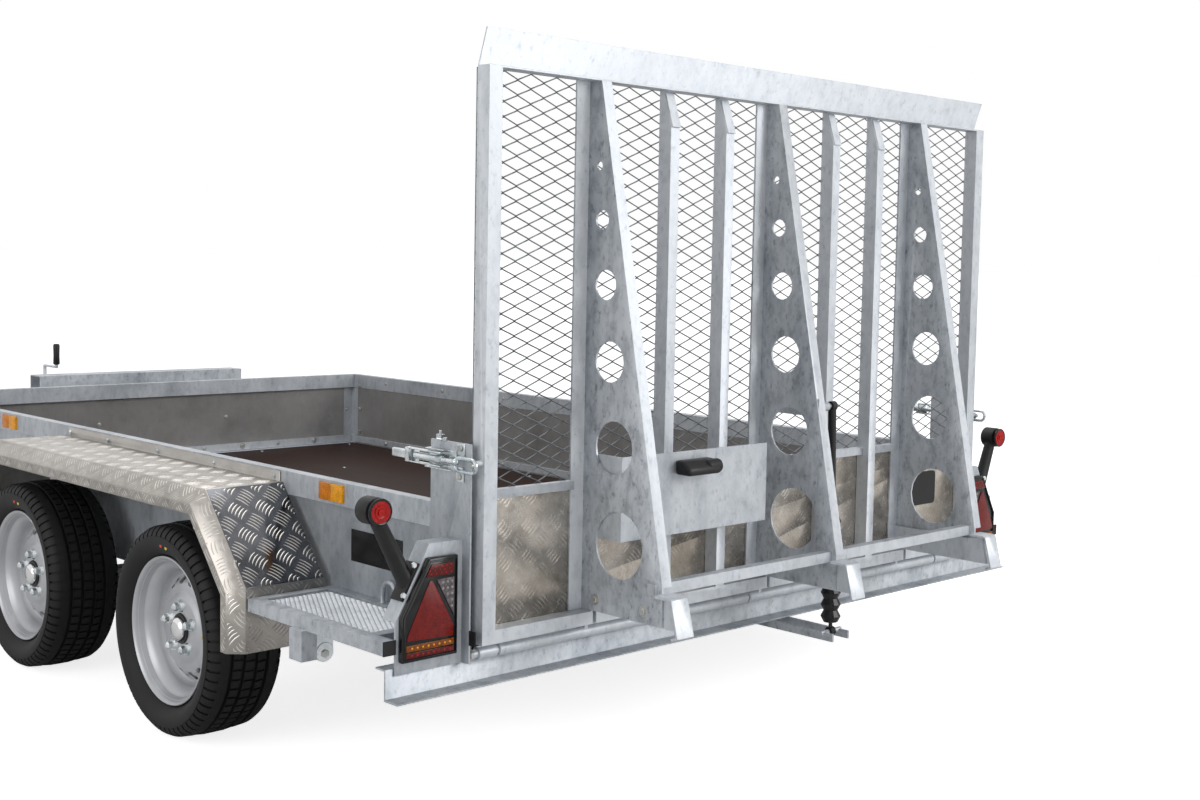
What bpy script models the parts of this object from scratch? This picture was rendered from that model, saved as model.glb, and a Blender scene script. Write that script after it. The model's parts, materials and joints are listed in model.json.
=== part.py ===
"""A twin-axle machine trailer with a mesh tail ramp.

+Z is up, +Y points to the drawbar, +X is the trailer's right side.
The origin is on the ground, under the middle of the whole trailer.
"""
import math

import bmesh
import bpy
from mathutils import Matrix, Vector

# Fits between pieces
SEAT = 0.0003
OVERRUN = 0.01
BITE = 0.001
RUNNING = 0.0006

# Tail ramp
RAMP_WIDTH = 1.80
RAMP_LOW = 0.367
RAMP_HIGH = 1.588
POST_WIDTH = 0.035
FRAME_DEPTH = 0.040
BOTTOM_TUBE_HEIGHT = 0.030
SKIN = 0.004
RAMP_GAP = 0.0057
LIP_SHEET = 0.004
LIP_HEIGHT = 0.077
LIP_LEAN = 0.027
STILE_WIDTH = 0.029
STILE_OFFSETS = (0.232, 0.4185)
STILE_CUT = 1.500
STILE_RECESS = 0.026
STILE_CAP = 0.005
MID_RAIL_HIGH = 0.695
MID_RAIL_HEIGHT = 0.020
MID_RAIL_DEPTH = 0.018
PLATE_TUCK = 0.012

# Ribs of the ramp
RIB_SPACING = 0.59
RIB_SHEET = 0.005
RIB_FOOT_LOW = 0.400
RIB_HEEL_HIGH = 0.486
RIB_FOOT_REACH = 0.227
RIB_TOP_REACH = 0.004
RIB_FRONT_FLANGE = 0.038
RIB_REAR_FLANGE = 0.024
RIB_HOLE_HEIGHTS = (1.397, 1.278, 1.134, 0.964, 0.774, 0.558)
RIB_HOLE_RADII = (0.010, 0.022, 0.034, 0.046, 0.060, 0.076)
CROSS_TUBE = 0.025
CROSS_TUBE_REACH = 0.200
CROSS_TUBE_HEIGHT = 0.480
CROSS_TUBE_END = 0.010

# Feet of the ramp
ARM_THICK = 0.010
ARM_EYE_RADIUS = 0.0125
ARM_TIP = 0.030
ARM_LOW = 0.397
ARM_HIGH = 0.460
ARM_REACH = 0.275
SHOE_REACH = 0.298
SHOE_LEAN = 0.020
SHOE_TOP = 0.048
SHOE_WIDTH = 0.050
SHOE_SHEET = 0.006
SHOE_LOW = 0.386
SHOE_HIGH = 0.474
SHOE_HOOK = 0.016

# Number plate board
BOARD_REACH = 0.085
BOARD_WIDTH = 0.480
BOARD_LOW = 0.565
BOARD_HIGH = 0.755
BOARD_SHEET = 0.003
BOARD_FOLD = 0.018
BOARD_WING = 0.100
PLATE_LAMP_WIDTH = 0.105
PLATE_LAMP_DEPTH = 0.048
PLATE_LAMP_HEIGHT = 0.034
PLATE_LAMP_INSET = 0.165
PLATE_LAMP_DROP = 0.018

# Mesh of the ramp
MESH_ROWS = 9
MESH_COLUMNS = 11
MESH_RIM = 0.006
MESH_STRAND = 0.008

# Hinge of the ramp
HINGE_INSET = 0.040
HINGE_HEIGHT = 0.342
HINGE_RADIUS = 0.0145
HINGE_PIN_RADIUS = 0.008
HINGE_END = 0.015
HINGE_SIDE_GAP = 0.003

# Bed
BED_LENGTH = 3.20
FLOOR_TOP = 0.357
FLOOR_THICK = 0.015
FLOOR_BACK_IN = 0.005
WALL_INNER = 0.889
WALL_SHEET = 0.004
WALL_LOW = 0.300
RAIL_OUTER = 0.913
RAIL_WIDTH = 0.028
RAIL_HEIGHT = 0.057
RAIL_TOP = 0.658

# Rear sill
SILL_SHORT = 0.009
SILL_SHEET = 0.004
SILL_LOW = 0.275
SILL_LIP = 0.043
SILL_FLANGE = 0.036

# Chassis
BEARER_HEIGHT = 0.050
BEARER_WIDTH = 0.040
SIDE_MEMBER_OUTER = 0.880
CHASSIS_REAR_CLEAR = 0.005
CROSS_BEARERS = 6
DRAWBAR_WIDTH = 0.052
DRAWBAR_HEIGHT = 0.072
DRAWBAR_HALF = 0.300
DRAWBAR_NOSE_HALF = 0.050
DRAWBAR_REACH = 1.27
DRAWBAR_SHORT = 0.37
DRAWBAR_TAIL = 0.30
NOSE_PLATE_LENGTH = 0.36
NOSE_PLATE_THICK = 0.012

# Axles and wheels
REAR_AXLE_IN = 0.897
WHEELBASE = 0.860
TYRE_RADIUS = 0.2625
TYRE_WIDTH = 0.195
TYRE_OUTER = 1.146
RIM_RADIUS = 0.182
RIM_HALF = 0.0785
AXLE_TUBE = 0.060
AXLE_TRAIL = 0.150
AXLE_DROP = 0.062
ARM_CLEAR = 0.033
ARM_WIDTH = 0.030
STUB_RADIUS = 0.020
BACK_PLATE_RADIUS = 0.097
DRUM_TO_WHEEL = 0.1235
ARM_BOSS_RADIUS = 0.027
TYRE_SIDES = 40
RIM_SIDES = 20

# Wheel guards
GUARD_OUTER = 1.149
GUARD_TOP = 0.630
GUARD_SHEET = 0.003
GUARD_LOW = 0.272
GUARD_SHOULDER = 0.425
GUARD_BACK_REACH = 0.787
GUARD_TOP_REACH = 0.602
GUARD_SKIRT = 0.060
GUARD_END_STRIP = 0.056
GUARD_MOUTH_HALF = 0.581
GUARD_MOUTH_SHOULDER = 0.405
GUARD_CHAMFER = 0.032
GUARD_UPSTAND = 0.025

# Steps
STEP_OUTER = 1.114
STEP_TOP = 0.402
STEP_BAR_HEIGHT = 0.030
STEP_BAR_WIDTH = 0.029
STEP_BACK_IN = 0.050
STEP_LENGTH = 0.585
HANGER_IN = 0.340
HANGER_LENGTH = 0.050
HANGER_WIDTH = 0.040
HANGER_DROP = 0.068
STEP_TREAD = 0.008
STEP_TREAD_DROP = 0.003
STEP_SLOT_ROWS = 3
STEP_SLOT_COLUMNS = 4
STEP_SLOT_MARGIN = 0.015
HOOP_RADIUS = 0.006
HOOP_HALF = 0.025
HOOP_HEIGHT = 0.050
HOOP_IN = 0.330
STEP_TAIL_CLEAR = 0.012

# Rear corners
CORNER_SHEET = 0.004
LATCH_PLATE_LENGTH = 0.115
LATCH_PLATE_HIGH = 0.796
LAMP_PLATE_LOW = 0.327
LAMP_PLATE_HIGH = 0.592
LAMP_PLATE_IN = 0.050
LAMP_PLATE_SHOULDER = 1.002
LAMP_PLATE_KNEE = 0.437
LAMP_FLANGE = 0.046
CORNER_IN = 0.0235

# Tail lamps
LAMP_INNER = 0.939
LAMP_OUTER = 1.078
LAMP_LOW = 0.353
LAMP_HIGH = 0.565
LAMP_KNEE = 0.447
LAMP_SHOULDER = 1.012
LAMP_DEPTH = 0.016

# Marker lamps
MARKER_HEAD_RADIUS = 0.029
MARKER_HEAD_LENGTH = 0.038
MARKER_OUTER = 1.121
MARKER_HEIGHT = 0.670
MARKER_HEAD_IN = 0.082
MARKER_ARM_RADIUS = 0.0155
MARKER_ROOT_RADIUS = 0.019
MARKER_BASE_LENGTH = 0.085
MARKER_BASE_WIDTH = 0.040
MARKER_BASE_THICK = 0.006

# Latches
LATCH_HEIGHT = 0.757
LATCH_BODY_LENGTH = 0.090
LATCH_BODY_HEIGHT = 0.036
LATCH_BODY_DEPTH = 0.022
LATCH_HANDLE = 0.110
LATCH_HANDLE_RADIUS = 0.008
LATCH_WIRE = 0.0035
LATCH_LOOP_HALF = 0.012
LATCH_LOOP_END = 0.006
LATCH_BASE = 0.004
KEEPER_RADIUS = 0.006
KEEPER_LENGTH = 0.016
KEEPER_INSET = 0.010

# Bucket rest
REST_AHEAD = 0.150
REST_HALF = 0.420
REST_TOP = 0.690
REST_HEIGHT = 0.050
REST_DEPTH = 0.090
REST_SHEET = 0.005
REST_LEG = 0.040

# Coupling
HOUSING_WIDTH = 0.090
HOUSING_HEIGHT = 0.075
HOUSING_LENGTH = 0.270
HOUSING_NOSE = 0.260
DRAW_TUBE_RADIUS = 0.025
BELLOWS_RADIUS = 0.038
BELLOWS_FOLDS = 5
HEAD_LENGTH = 0.140
HEAD_HALF = 0.032
HEAD_HEIGHT = 0.070
BALL_RADIUS = 0.025
COUPLING_GRIP = 0.012
GRIP_BACK = 0.049
BRAKE_LEVER_THICK = 0.010
BRAKE_LEVER_WIDTH = 0.028
BRAKE_LEVER_RUN = 0.270
BRAKE_LEVER_RISE = 0.230

# Jockey wheel
JOCKEY_AHEAD = 0.500
JOCKEY_OFFSET = 0.235
JOCKEY_TUBE_RADIUS = 0.030
JOCKEY_TUBE_WALL = 0.004
JOCKEY_TUBE_LOW = 0.250
JOCKEY_TUBE_HIGH = 0.660
JOCKEY_LEG_RADIUS = 0.0252
JOCKEY_TRAVEL = 0.150
JOCKEY_INSERT = 0.060
JOCKEY_WHEEL_RADIUS = 0.100
JOCKEY_WHEEL_WIDTH = 0.050
JOCKEY_FORK_SHEET = 0.004
JOCKEY_FORK_GAP = 0.005
JOCKEY_TRAIL = 0.040
JOCKEY_AXLE_RADIUS = 0.008
JOCKEY_CLAMP_HIGH = 0.290
JOCKEY_CLAMP_LOW = 0.228
CRANK_RADIUS = 0.007
CRANK_REACH = 0.110
CRANK_GRIP = 0.090
CRANK_HEIGHT = 0.700

# Spring of the ramp
SPRING_X = 0.078
SPRING_TOP_REACH = 0.135
SPRING_TOP_HEIGHT = 0.839
SPRING_FOOT_REACH = 0.150
SPRING_FOOT_HEIGHT = 0.272
SPRING_PIN_RADIUS = 0.006
SPRING_RADIUS = 0.0105
SPRING_BARREL = 0.282
SPRING_ROD_RADIUS = 0.005
SPRING_EYE_HALF = 0.008
SPRING_ROD_TUCK = 0.008
SPRING_BORE_TOP = 0.016
SPRING_BRACKET = 0.006
SPRING_BRACKET_HIGH = 0.022
SLEEVE_FLOOR = 0.003
BELLOWS_INNER = 0.0125
BELLOWS_OUTER = 0.026
BELLOWS_VALLEY = 0.018
BELLOWS_START = 0.024
BELLOWS_TURNS = 9
LEVER_BAR = 0.006
LEVER_GAP = 0.054
LEVER_HEIGHT = 0.020
LEVER_FRONT_IN = 0.110
LEVER_BLOCK = 0.060
LEVER_SINK = 0.0075
LEVER_TAIL = 0.034

# Places worked out from the sizes above
RAMP_HALF = RAMP_WIDTH / 2
FRONT_REACH = FRAME_DEPTH + SEAT + SKIN + RAMP_GAP + BED_LENGTH + DRAWBAR_REACH
RAMP_BACK = (SHOE_REACH - FRONT_REACH) / 2
FRAME_FRONT = RAMP_BACK + FRAME_DEPTH
RAMP_FRONT = FRAME_FRONT + SEAT + SKIN
BED_BACK = RAMP_FRONT + RAMP_GAP
BED_FRONT = BED_BACK + BED_LENGTH
NOSE = BED_FRONT + DRAWBAR_REACH
HINGE_Y = RAMP_BACK + HINGE_INSET
FLOOR_LOW = FLOOR_TOP - FLOOR_THICK
BEARER_LOW = FLOOR_LOW - SEAT - BEARER_HEIGHT
SILL_BACK = HINGE_Y + HINGE_RADIUS + SEAT
CHASSIS_BACK = SILL_BACK + SILL_FLANGE + CHASSIS_REAR_CLEAR
REAR_AXLE_Y = BED_BACK + REAR_AXLE_IN
FRONT_AXLE_Y = REAR_AXLE_Y + WHEELBASE
WHEEL_X = TYRE_OUTER - TYRE_WIDTH / 2
GUARD_MIDDLE_Y = (REAR_AXLE_Y + FRONT_AXLE_Y) / 2
CORNER_BACK = RAMP_BACK + CORNER_IN
LAMP_PLATE_BACK = RAMP_BACK + LAMP_PLATE_IN
LAMP_PLATE_OUTER = STEP_OUTER - STEP_BAR_WIDTH - SEAT
SILL_HALF = STEP_OUTER - SILL_SHORT
DRUM_INNER = WHEEL_X - DRUM_TO_WHEEL
AXLE_HALF = DRUM_INNER - ARM_WIDTH - ARM_CLEAR
RIB_PLACES = (-RIB_SPACING, 0, RIB_SPACING)
DRAWBAR_LOW = BEARER_LOW - DRAWBAR_HEIGHT
FLANGE_INNER = RAIL_OUTER + SEAT
FLANGE_OUTER = FLANGE_INNER + CORNER_SHEET
COUPLING_LOW = BEARER_LOW + SEAT
JOCKEY_Y = BED_FRONT + JOCKEY_AHEAD

# Colours, roughness and metallic value of the finishes
FINISHES = {
    "galvanised": ((0.56, 0.58, 0.59), 0.45, 0.9),
    "tread": ((0.70, 0.69, 0.66), 0.30, 1.0),
    "rubber": ((0.025, 0.025, 0.027), 0.80, 0.0),
    "black": ((0.02, 0.02, 0.02), 0.45, 0.0),
    "rim": ((0.62, 0.63, 0.64), 0.35, 0.7),
    "ply": ((0.09, 0.05, 0.035), 0.50, 0.0),
    "zinc": ((0.72, 0.73, 0.70), 0.25, 1.0),
    "red": ((0.55, 0.03, 0.02), 0.20, 0.0),
}

CIRCLE = 2 * math.pi
FLAT_ANGLE = math.radians(1)
CORNER_SHARE = 2 - math.sqrt(2)
CURVE_SIDES = 18
SMALL_SIDES = 12
MIDDLE_SIDES = 16


def clear_scene():
    """Remove what the scene starts with."""
    for thing in list(bpy.context.scene.objects):
        bpy.data.objects.remove(thing, do_unlink=True)


clear_scene()
PARTS = bpy.data.collections.new("MachineTrailer")
bpy.context.scene.collection.children.link(PARTS)


def keep(thing):
    """Put an object into the trailer's collection."""
    PARTS.objects.link(thing)
    return thing


def plain_mesh(thing, helpers=()):
    """Turn a curve, or a mesh with modifiers, into one plain mesh in place."""
    bpy.context.view_layer.update()
    graph = bpy.context.evaluated_depsgraph_get()
    mesh = bpy.data.meshes.new_from_object(thing.evaluated_get(graph))
    mesh.transform(thing.matrix_world)
    name = thing.name
    bpy.data.objects.remove(thing, do_unlink=True)
    for helper in helpers:
        bpy.data.objects.remove(helper, do_unlink=True)
    mesh.materials.clear()
    return keep(bpy.data.objects.new(name, mesh))


def from_bmesh(shape, name="piece"):
    """Make an object of a bmesh."""
    mesh = bpy.data.meshes.new(name)
    shape.to_mesh(mesh)
    shape.free()
    return keep(bpy.data.objects.new(name, mesh))


def block(x, y, z):
    """A box between two values on each axis."""
    shape = bmesh.new()
    bmesh.ops.create_cube(shape, size=1)
    size = Vector((x[1] - x[0], y[1] - y[0], z[1] - z[0]))
    middle = Vector((x[0] + x[1], y[0] + y[1], z[0] + z[1])) / 2
    bmesh.ops.scale(shape, vec=size, verts=shape.verts)
    bmesh.ops.translate(shape, vec=middle, verts=shape.verts)
    return from_bmesh(shape)


def rod(start, end, radius, sides=SMALL_SIDES, end_radius=None):
    """A round bar, or a cone, between two points."""
    start, end = Vector(start), Vector(end)
    run = end - start
    shape = bmesh.new()
    bmesh.ops.create_cone(shape, cap_ends=True, segments=sides, radius1=radius,
                          radius2=radius if end_radius is None else end_radius, depth=run.length)
    turn = run.to_track_quat("Z", "Y").to_matrix().to_4x4()
    bmesh.ops.transform(shape, matrix=Matrix.Translation((start + end) / 2) @ turn, verts=shape.verts)
    return from_bmesh(shape)


def circle(centre, radius, sides=CURVE_SIDES, start=0.0, sweep=CIRCLE):
    """Points on a circle or, with a sweep, on an arc that has both its ends."""
    full = sweep == CIRCLE
    count = sides if full else sides + 1
    return [(centre[0] + radius * math.cos(start + sweep * i / sides),
             centre[1] + radius * math.sin(start + sweep * i / sides)) for i in range(count)]


# A flat outline's own u and v axes, for each axis that it is thick along
PLANES = {
    "X": Matrix(((0, 0, 1, 0), (1, 0, 0, 0), (0, 1, 0, 0), (0, 0, 0, 1))),
    "Y": Matrix(((1, 0, 0, 0), (0, 0, -1, 0), (0, 1, 0, 0), (0, 0, 0, 1))),
    "Z": Matrix.Identity(4),
}
ALONG = {"X": Vector((1, 0, 0)), "Y": Vector((0, 1, 0)), "Z": Vector((0, 0, 1))}


def flat(axis, outline, span, holes=()):
    """A flat outline, with holes, made thick along one axis between two values.

    Outlines are in (Y, Z) for axis X, in (X, Z) for axis Y and in (X, Y) for axis Z.
    """
    curve = bpy.data.curves.new("outline", "CURVE")
    curve.dimensions = "2D"
    curve.fill_mode = "BOTH"
    curve.extrude = (span[1] - span[0]) / 2
    for ring in (outline, *holes):
        spline = curve.splines.new("POLY")
        spline.points.add(len(ring) - 1)
        for point, (u, v) in zip(spline.points, ring):
            point.co = (u, v, 0, 1)
        spline.use_cyclic_u = True
    thing = keep(bpy.data.objects.new("outline", curve))
    middle = ALONG[axis] * (span[0] + span[1]) / 2
    thing.matrix_world = Matrix.Translation(middle) @ PLANES[axis]
    return welded(plain_mesh(thing))


def welded(thing):
    """Weld a curve's loose caps to its sides."""
    shape = bmesh.new()
    shape.from_mesh(thing.data)
    bmesh.ops.remove_doubles(shape, verts=shape.verts, dist=SEAT / 10)
    bmesh.ops.recalc_face_normals(shape, faces=shape.faces)
    shape.to_mesh(thing.data)
    shape.free()
    return thing


def tube(points, radius, resolution=2):
    """A round bar bent through a row of points."""
    curve = bpy.data.curves.new("tube", "CURVE")
    curve.dimensions = "3D"
    curve.bevel_depth = radius
    curve.bevel_resolution = resolution
    curve.use_fill_caps = True
    spline = curve.splines.new("POLY")
    spline.points.add(len(points) - 1)
    for point, place in zip(spline.points, points):
        point.co = (*place, 1)
    return welded(plain_mesh(keep(bpy.data.objects.new("tube", curve))))


def turned(profile, sides, axis="X", centre=(0, 0, 0), closed=False):
    """A profile of (radius, place along the axis), turned round that axis."""
    mesh = bpy.data.meshes.new("profile")
    count = len(profile)
    links = [(i, (i + 1) % count) for i in range(count if closed else count - 1)]
    mesh.from_pydata([(radius, 0, place) for radius, place in profile], links, [])
    thing = keep(bpy.data.objects.new("turned", mesh))
    screw = thing.modifiers.new("Turn", "SCREW")
    screw.steps = sides
    screw.render_steps = sides
    screw.use_merge_vertices = True
    screw.merge_threshold = SEAT / 10
    turn = {"X": Matrix.Rotation(math.pi / 2, 4, "Y"), "Y": Matrix.Rotation(-math.pi / 2, 4, "X"),
            "Z": Matrix.Identity(4)}[axis]
    thing.matrix_world = Matrix.Translation(Vector(centre)) @ turn
    return welded(plain_mesh(thing))


def combine(base, others, operation):
    """Apply one exact Boolean after another to a piece."""
    for other in others:
        step = base.modifiers.new(operation.title(), "BOOLEAN")
        step.operation = operation
        step.solver = "EXACT"
        step.object = other
    return plain_mesh(base, others)


def fuse(base, *others):
    """Weld pieces that overlap into one solid."""
    return combine(base, others, "UNION")


def cut(base, *others):
    """Cut shapes out of a piece."""
    return combine(base, others, "DIFFERENCE")


def mirrored(thing):
    """A copy of a piece on the other side of the trailer."""
    shape = bmesh.new()
    shape.from_mesh(thing.data)
    bmesh.ops.scale(shape, vec=(-1, 1, 1), verts=shape.verts)
    bmesh.ops.reverse_faces(shape, faces=shape.faces)
    return from_bmesh(shape)


def copied(thing, shift):
    """A copy of a piece, moved."""
    copy = keep(bpy.data.objects.new("copy", thing.data.copy()))
    copy.data.transform(Matrix.Translation(Vector(shift)))
    return copy


def finished(thing, name, finish, pivot=None, smooth=True):
    """Name a piece, give it its material, and hang it on its pivot if it moves."""
    thing.name = name
    thing.data.name = name
    colour, roughness, metallic = FINISHES[finish]
    paint = bpy.data.materials.new(name)
    paint.use_nodes = True
    shader = paint.node_tree.nodes["Principled BSDF"]
    shader.inputs["Base Color"].default_value = (*colour, 1)
    shader.inputs["Roughness"].default_value = roughness
    shader.inputs["Metallic"].default_value = metallic
    thing.data.materials.clear()
    thing.data.materials.append(paint)
    if smooth:
        thing.data.shade_smooth()
        thing.data.set_sharp_from_angle(angle=math.radians(30))
    if pivot is not None:
        thing.parent = pivot
        thing.matrix_parent_inverse = pivot.matrix_world.inverted()
    return thing


def pivot_at(name, place, parent=None):
    """An empty on a joint's axis."""
    empty = keep(bpy.data.objects.new(name, None))
    empty.location = place
    bpy.context.view_layer.update()
    if parent is not None:
        empty.parent = parent
        empty.matrix_parent_inverse = parent.matrix_world.inverted()
        bpy.context.view_layer.update()
    return empty


def both_sides(piece, name, finish):
    """Finish a left piece and its mirrored right one."""
    other = mirrored(piece)
    finished(piece, name + "_left", finish)
    finished(other, name + "_right", finish)


def band(points, width):
    """The outline of an open line of one width, mitred at its bends."""
    line = [Vector(point) for point in points]
    sides = []
    for i, place in enumerate(line):
        before = (place - line[i - 1]).normalized() if i else (line[1] - place).normalized()
        after = (line[i + 1] - place).normalized() if i + 1 < len(line) else before
        across = (before + after).normalized().orthogonal()
        stretch = width / 2 / max(across.dot(before.orthogonal()), SEAT)
        sides.append(across * stretch)
    return ([tuple(place + side) for place, side in zip(line, sides)]
            + [tuple(place - side) for place, side in reversed(list(zip(line, sides)))])


# Chassis

def drawbar_half(y):
    """How far from the middle the drawbar's centre lines lie at a place along it."""
    start, end = BED_FRONT - BEARER_WIDTH, NOSE - DRAWBAR_SHORT
    return DRAWBAR_HALF + (DRAWBAR_NOSE_HALF - DRAWBAR_HALF) * (y - start) / (end - start)


def drawbar_cover():
    """Half a drawbar member's width, measured along X across the slanting member."""
    run = NOSE - DRAWBAR_SHORT - BED_FRONT + BEARER_WIDTH
    return DRAWBAR_WIDTH / 2 * math.hypot(run, DRAWBAR_HALF - DRAWBAR_NOSE_HALF) / run


def drawbar_member():
    """The left long member, which bends at the bed's front into the drawbar."""
    line = [(-DRAWBAR_HALF, CHASSIS_BACK + DRAWBAR_TAIL), (-DRAWBAR_HALF, BED_FRONT - BEARER_WIDTH),
            (-DRAWBAR_NOSE_HALF, NOSE - DRAWBAR_SHORT)]
    return flat("Z", band(line, DRAWBAR_WIDTH), (DRAWBAR_LOW, BEARER_LOW + BITE))


def make_chassis():
    """Side members, cross bearers, long members and the plate that carries the coupling."""
    high = (BEARER_LOW, BEARER_LOW + BEARER_HEIGHT)
    front = BED_FRONT - SEAT
    length = (CHASSIS_BACK, front)
    inner = SIDE_MEMBER_OUTER - BEARER_WIDTH
    frame = block((-SIDE_MEMBER_OUTER, -inner), length, high)
    pieces = [block((inner, SIDE_MEMBER_OUTER), length, high)]
    pitch = (front - CHASSIS_BACK - BEARER_WIDTH) / (CROSS_BEARERS - 1)
    for i in range(CROSS_BEARERS):
        start = CHASSIS_BACK + pitch * i
        pieces.append(block((-inner - BITE, inner + BITE), (start, start + BEARER_WIDTH), high))
    member = drawbar_member()
    pieces += [member, mirrored(member)]
    end = NOSE - DRAWBAR_SHORT
    half = DRAWBAR_NOSE_HALF + DRAWBAR_WIDTH / 2
    pieces.append(block((-half, half), (end - NOSE_PLATE_LENGTH, end + BITE),
                        (BEARER_LOW - NOSE_PLATE_THICK, BEARER_LOW)))
    finished(fuse(frame, *pieces), "chassis", "galvanised")


def make_floor():
    """The film-faced board that lies on the bearers."""
    half = WALL_INNER - SEAT
    front = BED_FRONT - RAIL_WIDTH + (RAIL_WIDTH - WALL_SHEET) - SEAT
    finished(block((-half, half), (SILL_BACK + FLOOR_BACK_IN, front), (FLOOR_LOW, FLOOR_TOP)), "floor", "ply")


def make_walls():
    """Side walls and front wall: a sheet with a square rail at its top."""
    rail_inner = RAIL_OUTER - RAIL_WIDTH
    rail_low = RAIL_TOP - RAIL_HEIGHT
    side_y = (BED_BACK, BED_FRONT - RAIL_WIDTH - SEAT)
    rail = block((-RAIL_OUTER, -rail_inner), side_y, (rail_low, RAIL_TOP))
    sheet_x = (-WALL_INNER - WALL_SHEET, -WALL_INNER)
    sheet = block(sheet_x, side_y, (FLOOR_LOW, rail_low + BITE))
    foot = block(sheet_x, (CHASSIS_BACK, side_y[1]), (WALL_LOW, FLOOR_LOW + BITE))
    both_sides(fuse(rail, sheet, foot), "side_wall", "galvanised")
    back = BED_FRONT - RAIL_WIDTH
    sheet = BED_FRONT - WALL_SHEET
    front = [(sheet, FLOOR_LOW), (BED_FRONT, FLOOR_LOW), (BED_FRONT, RAIL_TOP), (back, RAIL_TOP),
             (back, RAIL_TOP - RAIL_HEIGHT), (sheet, RAIL_TOP - RAIL_HEIGHT)]
    finished(flat("X", front, (-RAIL_OUTER, RAIL_OUTER)), "front_wall", "galvanised")


def make_sill():
    """The bent sill under the ramp, with its lip and top flange."""
    top = FLOOR_LOW - SEAT
    back, front = SILL_BACK, SILL_BACK + SILL_SHEET
    outline = [(back, top), (back, SILL_LOW + SILL_SHEET), (back - SILL_LIP, SILL_LOW + SILL_SHEET),
               (back - SILL_LIP, SILL_LOW), (front, SILL_LOW), (front, top - SILL_SHEET),
               (back + SILL_FLANGE, top - SILL_SHEET), (back + SILL_FLANGE, top)]
    finished(flat("X", outline, (-SILL_HALF, SILL_HALF)), "rear_sill", "galvanised")


def arm_span(i):
    """Where a foot's arm lies along X, beside its rib: the right one lies on the other side."""
    web = RIB_PLACES[i]
    side = RIB_SHEET / 2 + SEAT
    if i == len(RIB_PLACES) - 1:
        return (web - side - ARM_THICK, web - side)
    return (web + side, web + side + ARM_THICK)


def arm_slots():
    """Cutters that let the feet's arms through the ramp's foot."""
    return [block((arm_span(i)[0] - SEAT, arm_span(i)[1] + SEAT), (RAMP_BACK - OVERRUN, RAMP_FRONT + OVERRUN),
                  (RAMP_LOW - OVERRUN, ARM_HIGH + SEAT)) for i in range(len(RIB_PLACES))]


def make_hinge_tube():
    """The hinge tube, thinned to its pin where the arms' eyes turn on it."""
    end = RAMP_HALF - HINGE_END
    profile = [(0, -end), (HINGE_RADIUS, -end)]
    for i in range(len(RIB_PLACES)):
        low, high = arm_span(i)
        low, high = low - HINGE_SIDE_GAP, high + HINGE_SIDE_GAP
        profile += [(HINGE_RADIUS, low), (HINGE_PIN_RADIUS, low), (HINGE_PIN_RADIUS, high), (HINGE_RADIUS, high)]
    profile += [(HINGE_RADIUS, end), (0, end)]
    piece = turned(profile, MIDDLE_SIDES, "X", (0, HINGE_Y, HINGE_HEIGHT))
    finished(piece, "hinge_tube", "galvanised")


# Ramp

def top_limit():
    """The underside of the ramp's top flange."""
    return RAMP_HIGH - LIP_SHEET


def make_ramp_frame(pivot):
    """Posts, bottom tube, stiles, rails and the bent lip, welded into one frame."""
    depth = (RAMP_BACK, FRAME_FRONT)
    post = (RAMP_HALF - POST_WIDTH, RAMP_HALF)
    low = RAMP_LOW + BOTTOM_TUBE_HEIGHT
    frame = block((-RAMP_HALF, RAMP_HALF), depth, (RAMP_LOW, low))
    high = (low - BITE, top_limit() + BITE)
    pieces = [block(post, depth, high), block((-post[1], -post[0]), depth, high)]
    stile = [(RAMP_BACK, high[0]), (RAMP_BACK, STILE_CUT), (RAMP_BACK + STILE_RECESS, high[1]),
             (FRAME_FRONT, high[1]), (FRAME_FRONT, high[0])]
    cap_low = RAMP_BACK - STILE_CAP
    cap = [(cap_low, STILE_CUT), (cap_low + STILE_RECESS, top_limit() - STILE_CAP),
           (RAMP_BACK + STILE_RECESS + BITE, top_limit() - STILE_CAP), (RAMP_BACK + BITE, STILE_CUT)]
    for rib in RIB_PLACES[:-1]:
        for offset in STILE_OFFSETS:
            low_x, high_x = rib + offset - STILE_WIDTH / 2, rib + offset + STILE_WIDTH / 2
            pieces.append(flat("X", stile, (low_x, high_x)))
            pieces.append(flat("X", cap, (low_x + BITE, high_x - BITE)))
    rail_y = (FRAME_FRONT - MID_RAIL_DEPTH, FRAME_FRONT)
    rail_z = (MID_RAIL_HIGH - MID_RAIL_HEIGHT, MID_RAIL_HIGH)
    flange = RIB_FRONT_FLANGE + RIB_SHEET / 2 + SEAT
    web = RIB_SHEET / 2 + SEAT
    bays = [(-post[0] - BITE, RIB_PLACES[0] - flange), (RIB_PLACES[0] + web, RIB_PLACES[1] - flange),
            (RIB_PLACES[1] + web, RIB_PLACES[2] - flange), (RIB_PLACES[2] + web, post[0] + BITE)]
    pieces += [block(span, rail_y, rail_z) for span in bays]
    lean = LIP_LEAN
    top = RAMP_HIGH + LIP_HEIGHT
    lip = [(RAMP_BACK, top_limit()), (FRAME_FRONT, top_limit()), (FRAME_FRONT, RAMP_HIGH),
           (FRAME_FRONT - lean, top), (FRAME_FRONT - lean - LIP_SHEET, top),
           (FRAME_FRONT - LIP_SHEET, RAMP_HIGH), (RAMP_BACK, RAMP_HIGH)]
    pieces.append(flat("X", lip, (-RAMP_HALF, RAMP_HALF)))
    keeper_y = RAMP_BACK + KEEPER_INSET
    for side in (-1, 1):
        pieces.append(rod((side * (RAMP_HALF - BITE), keeper_y, LATCH_HEIGHT),
                          (side * (RAMP_HALF + KEEPER_LENGTH), keeper_y, LATCH_HEIGHT), KEEPER_RADIUS))
    finished(cut(fuse(frame, *pieces), *arm_slots()), "ramp_frame", "galvanised", pivot)


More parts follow.
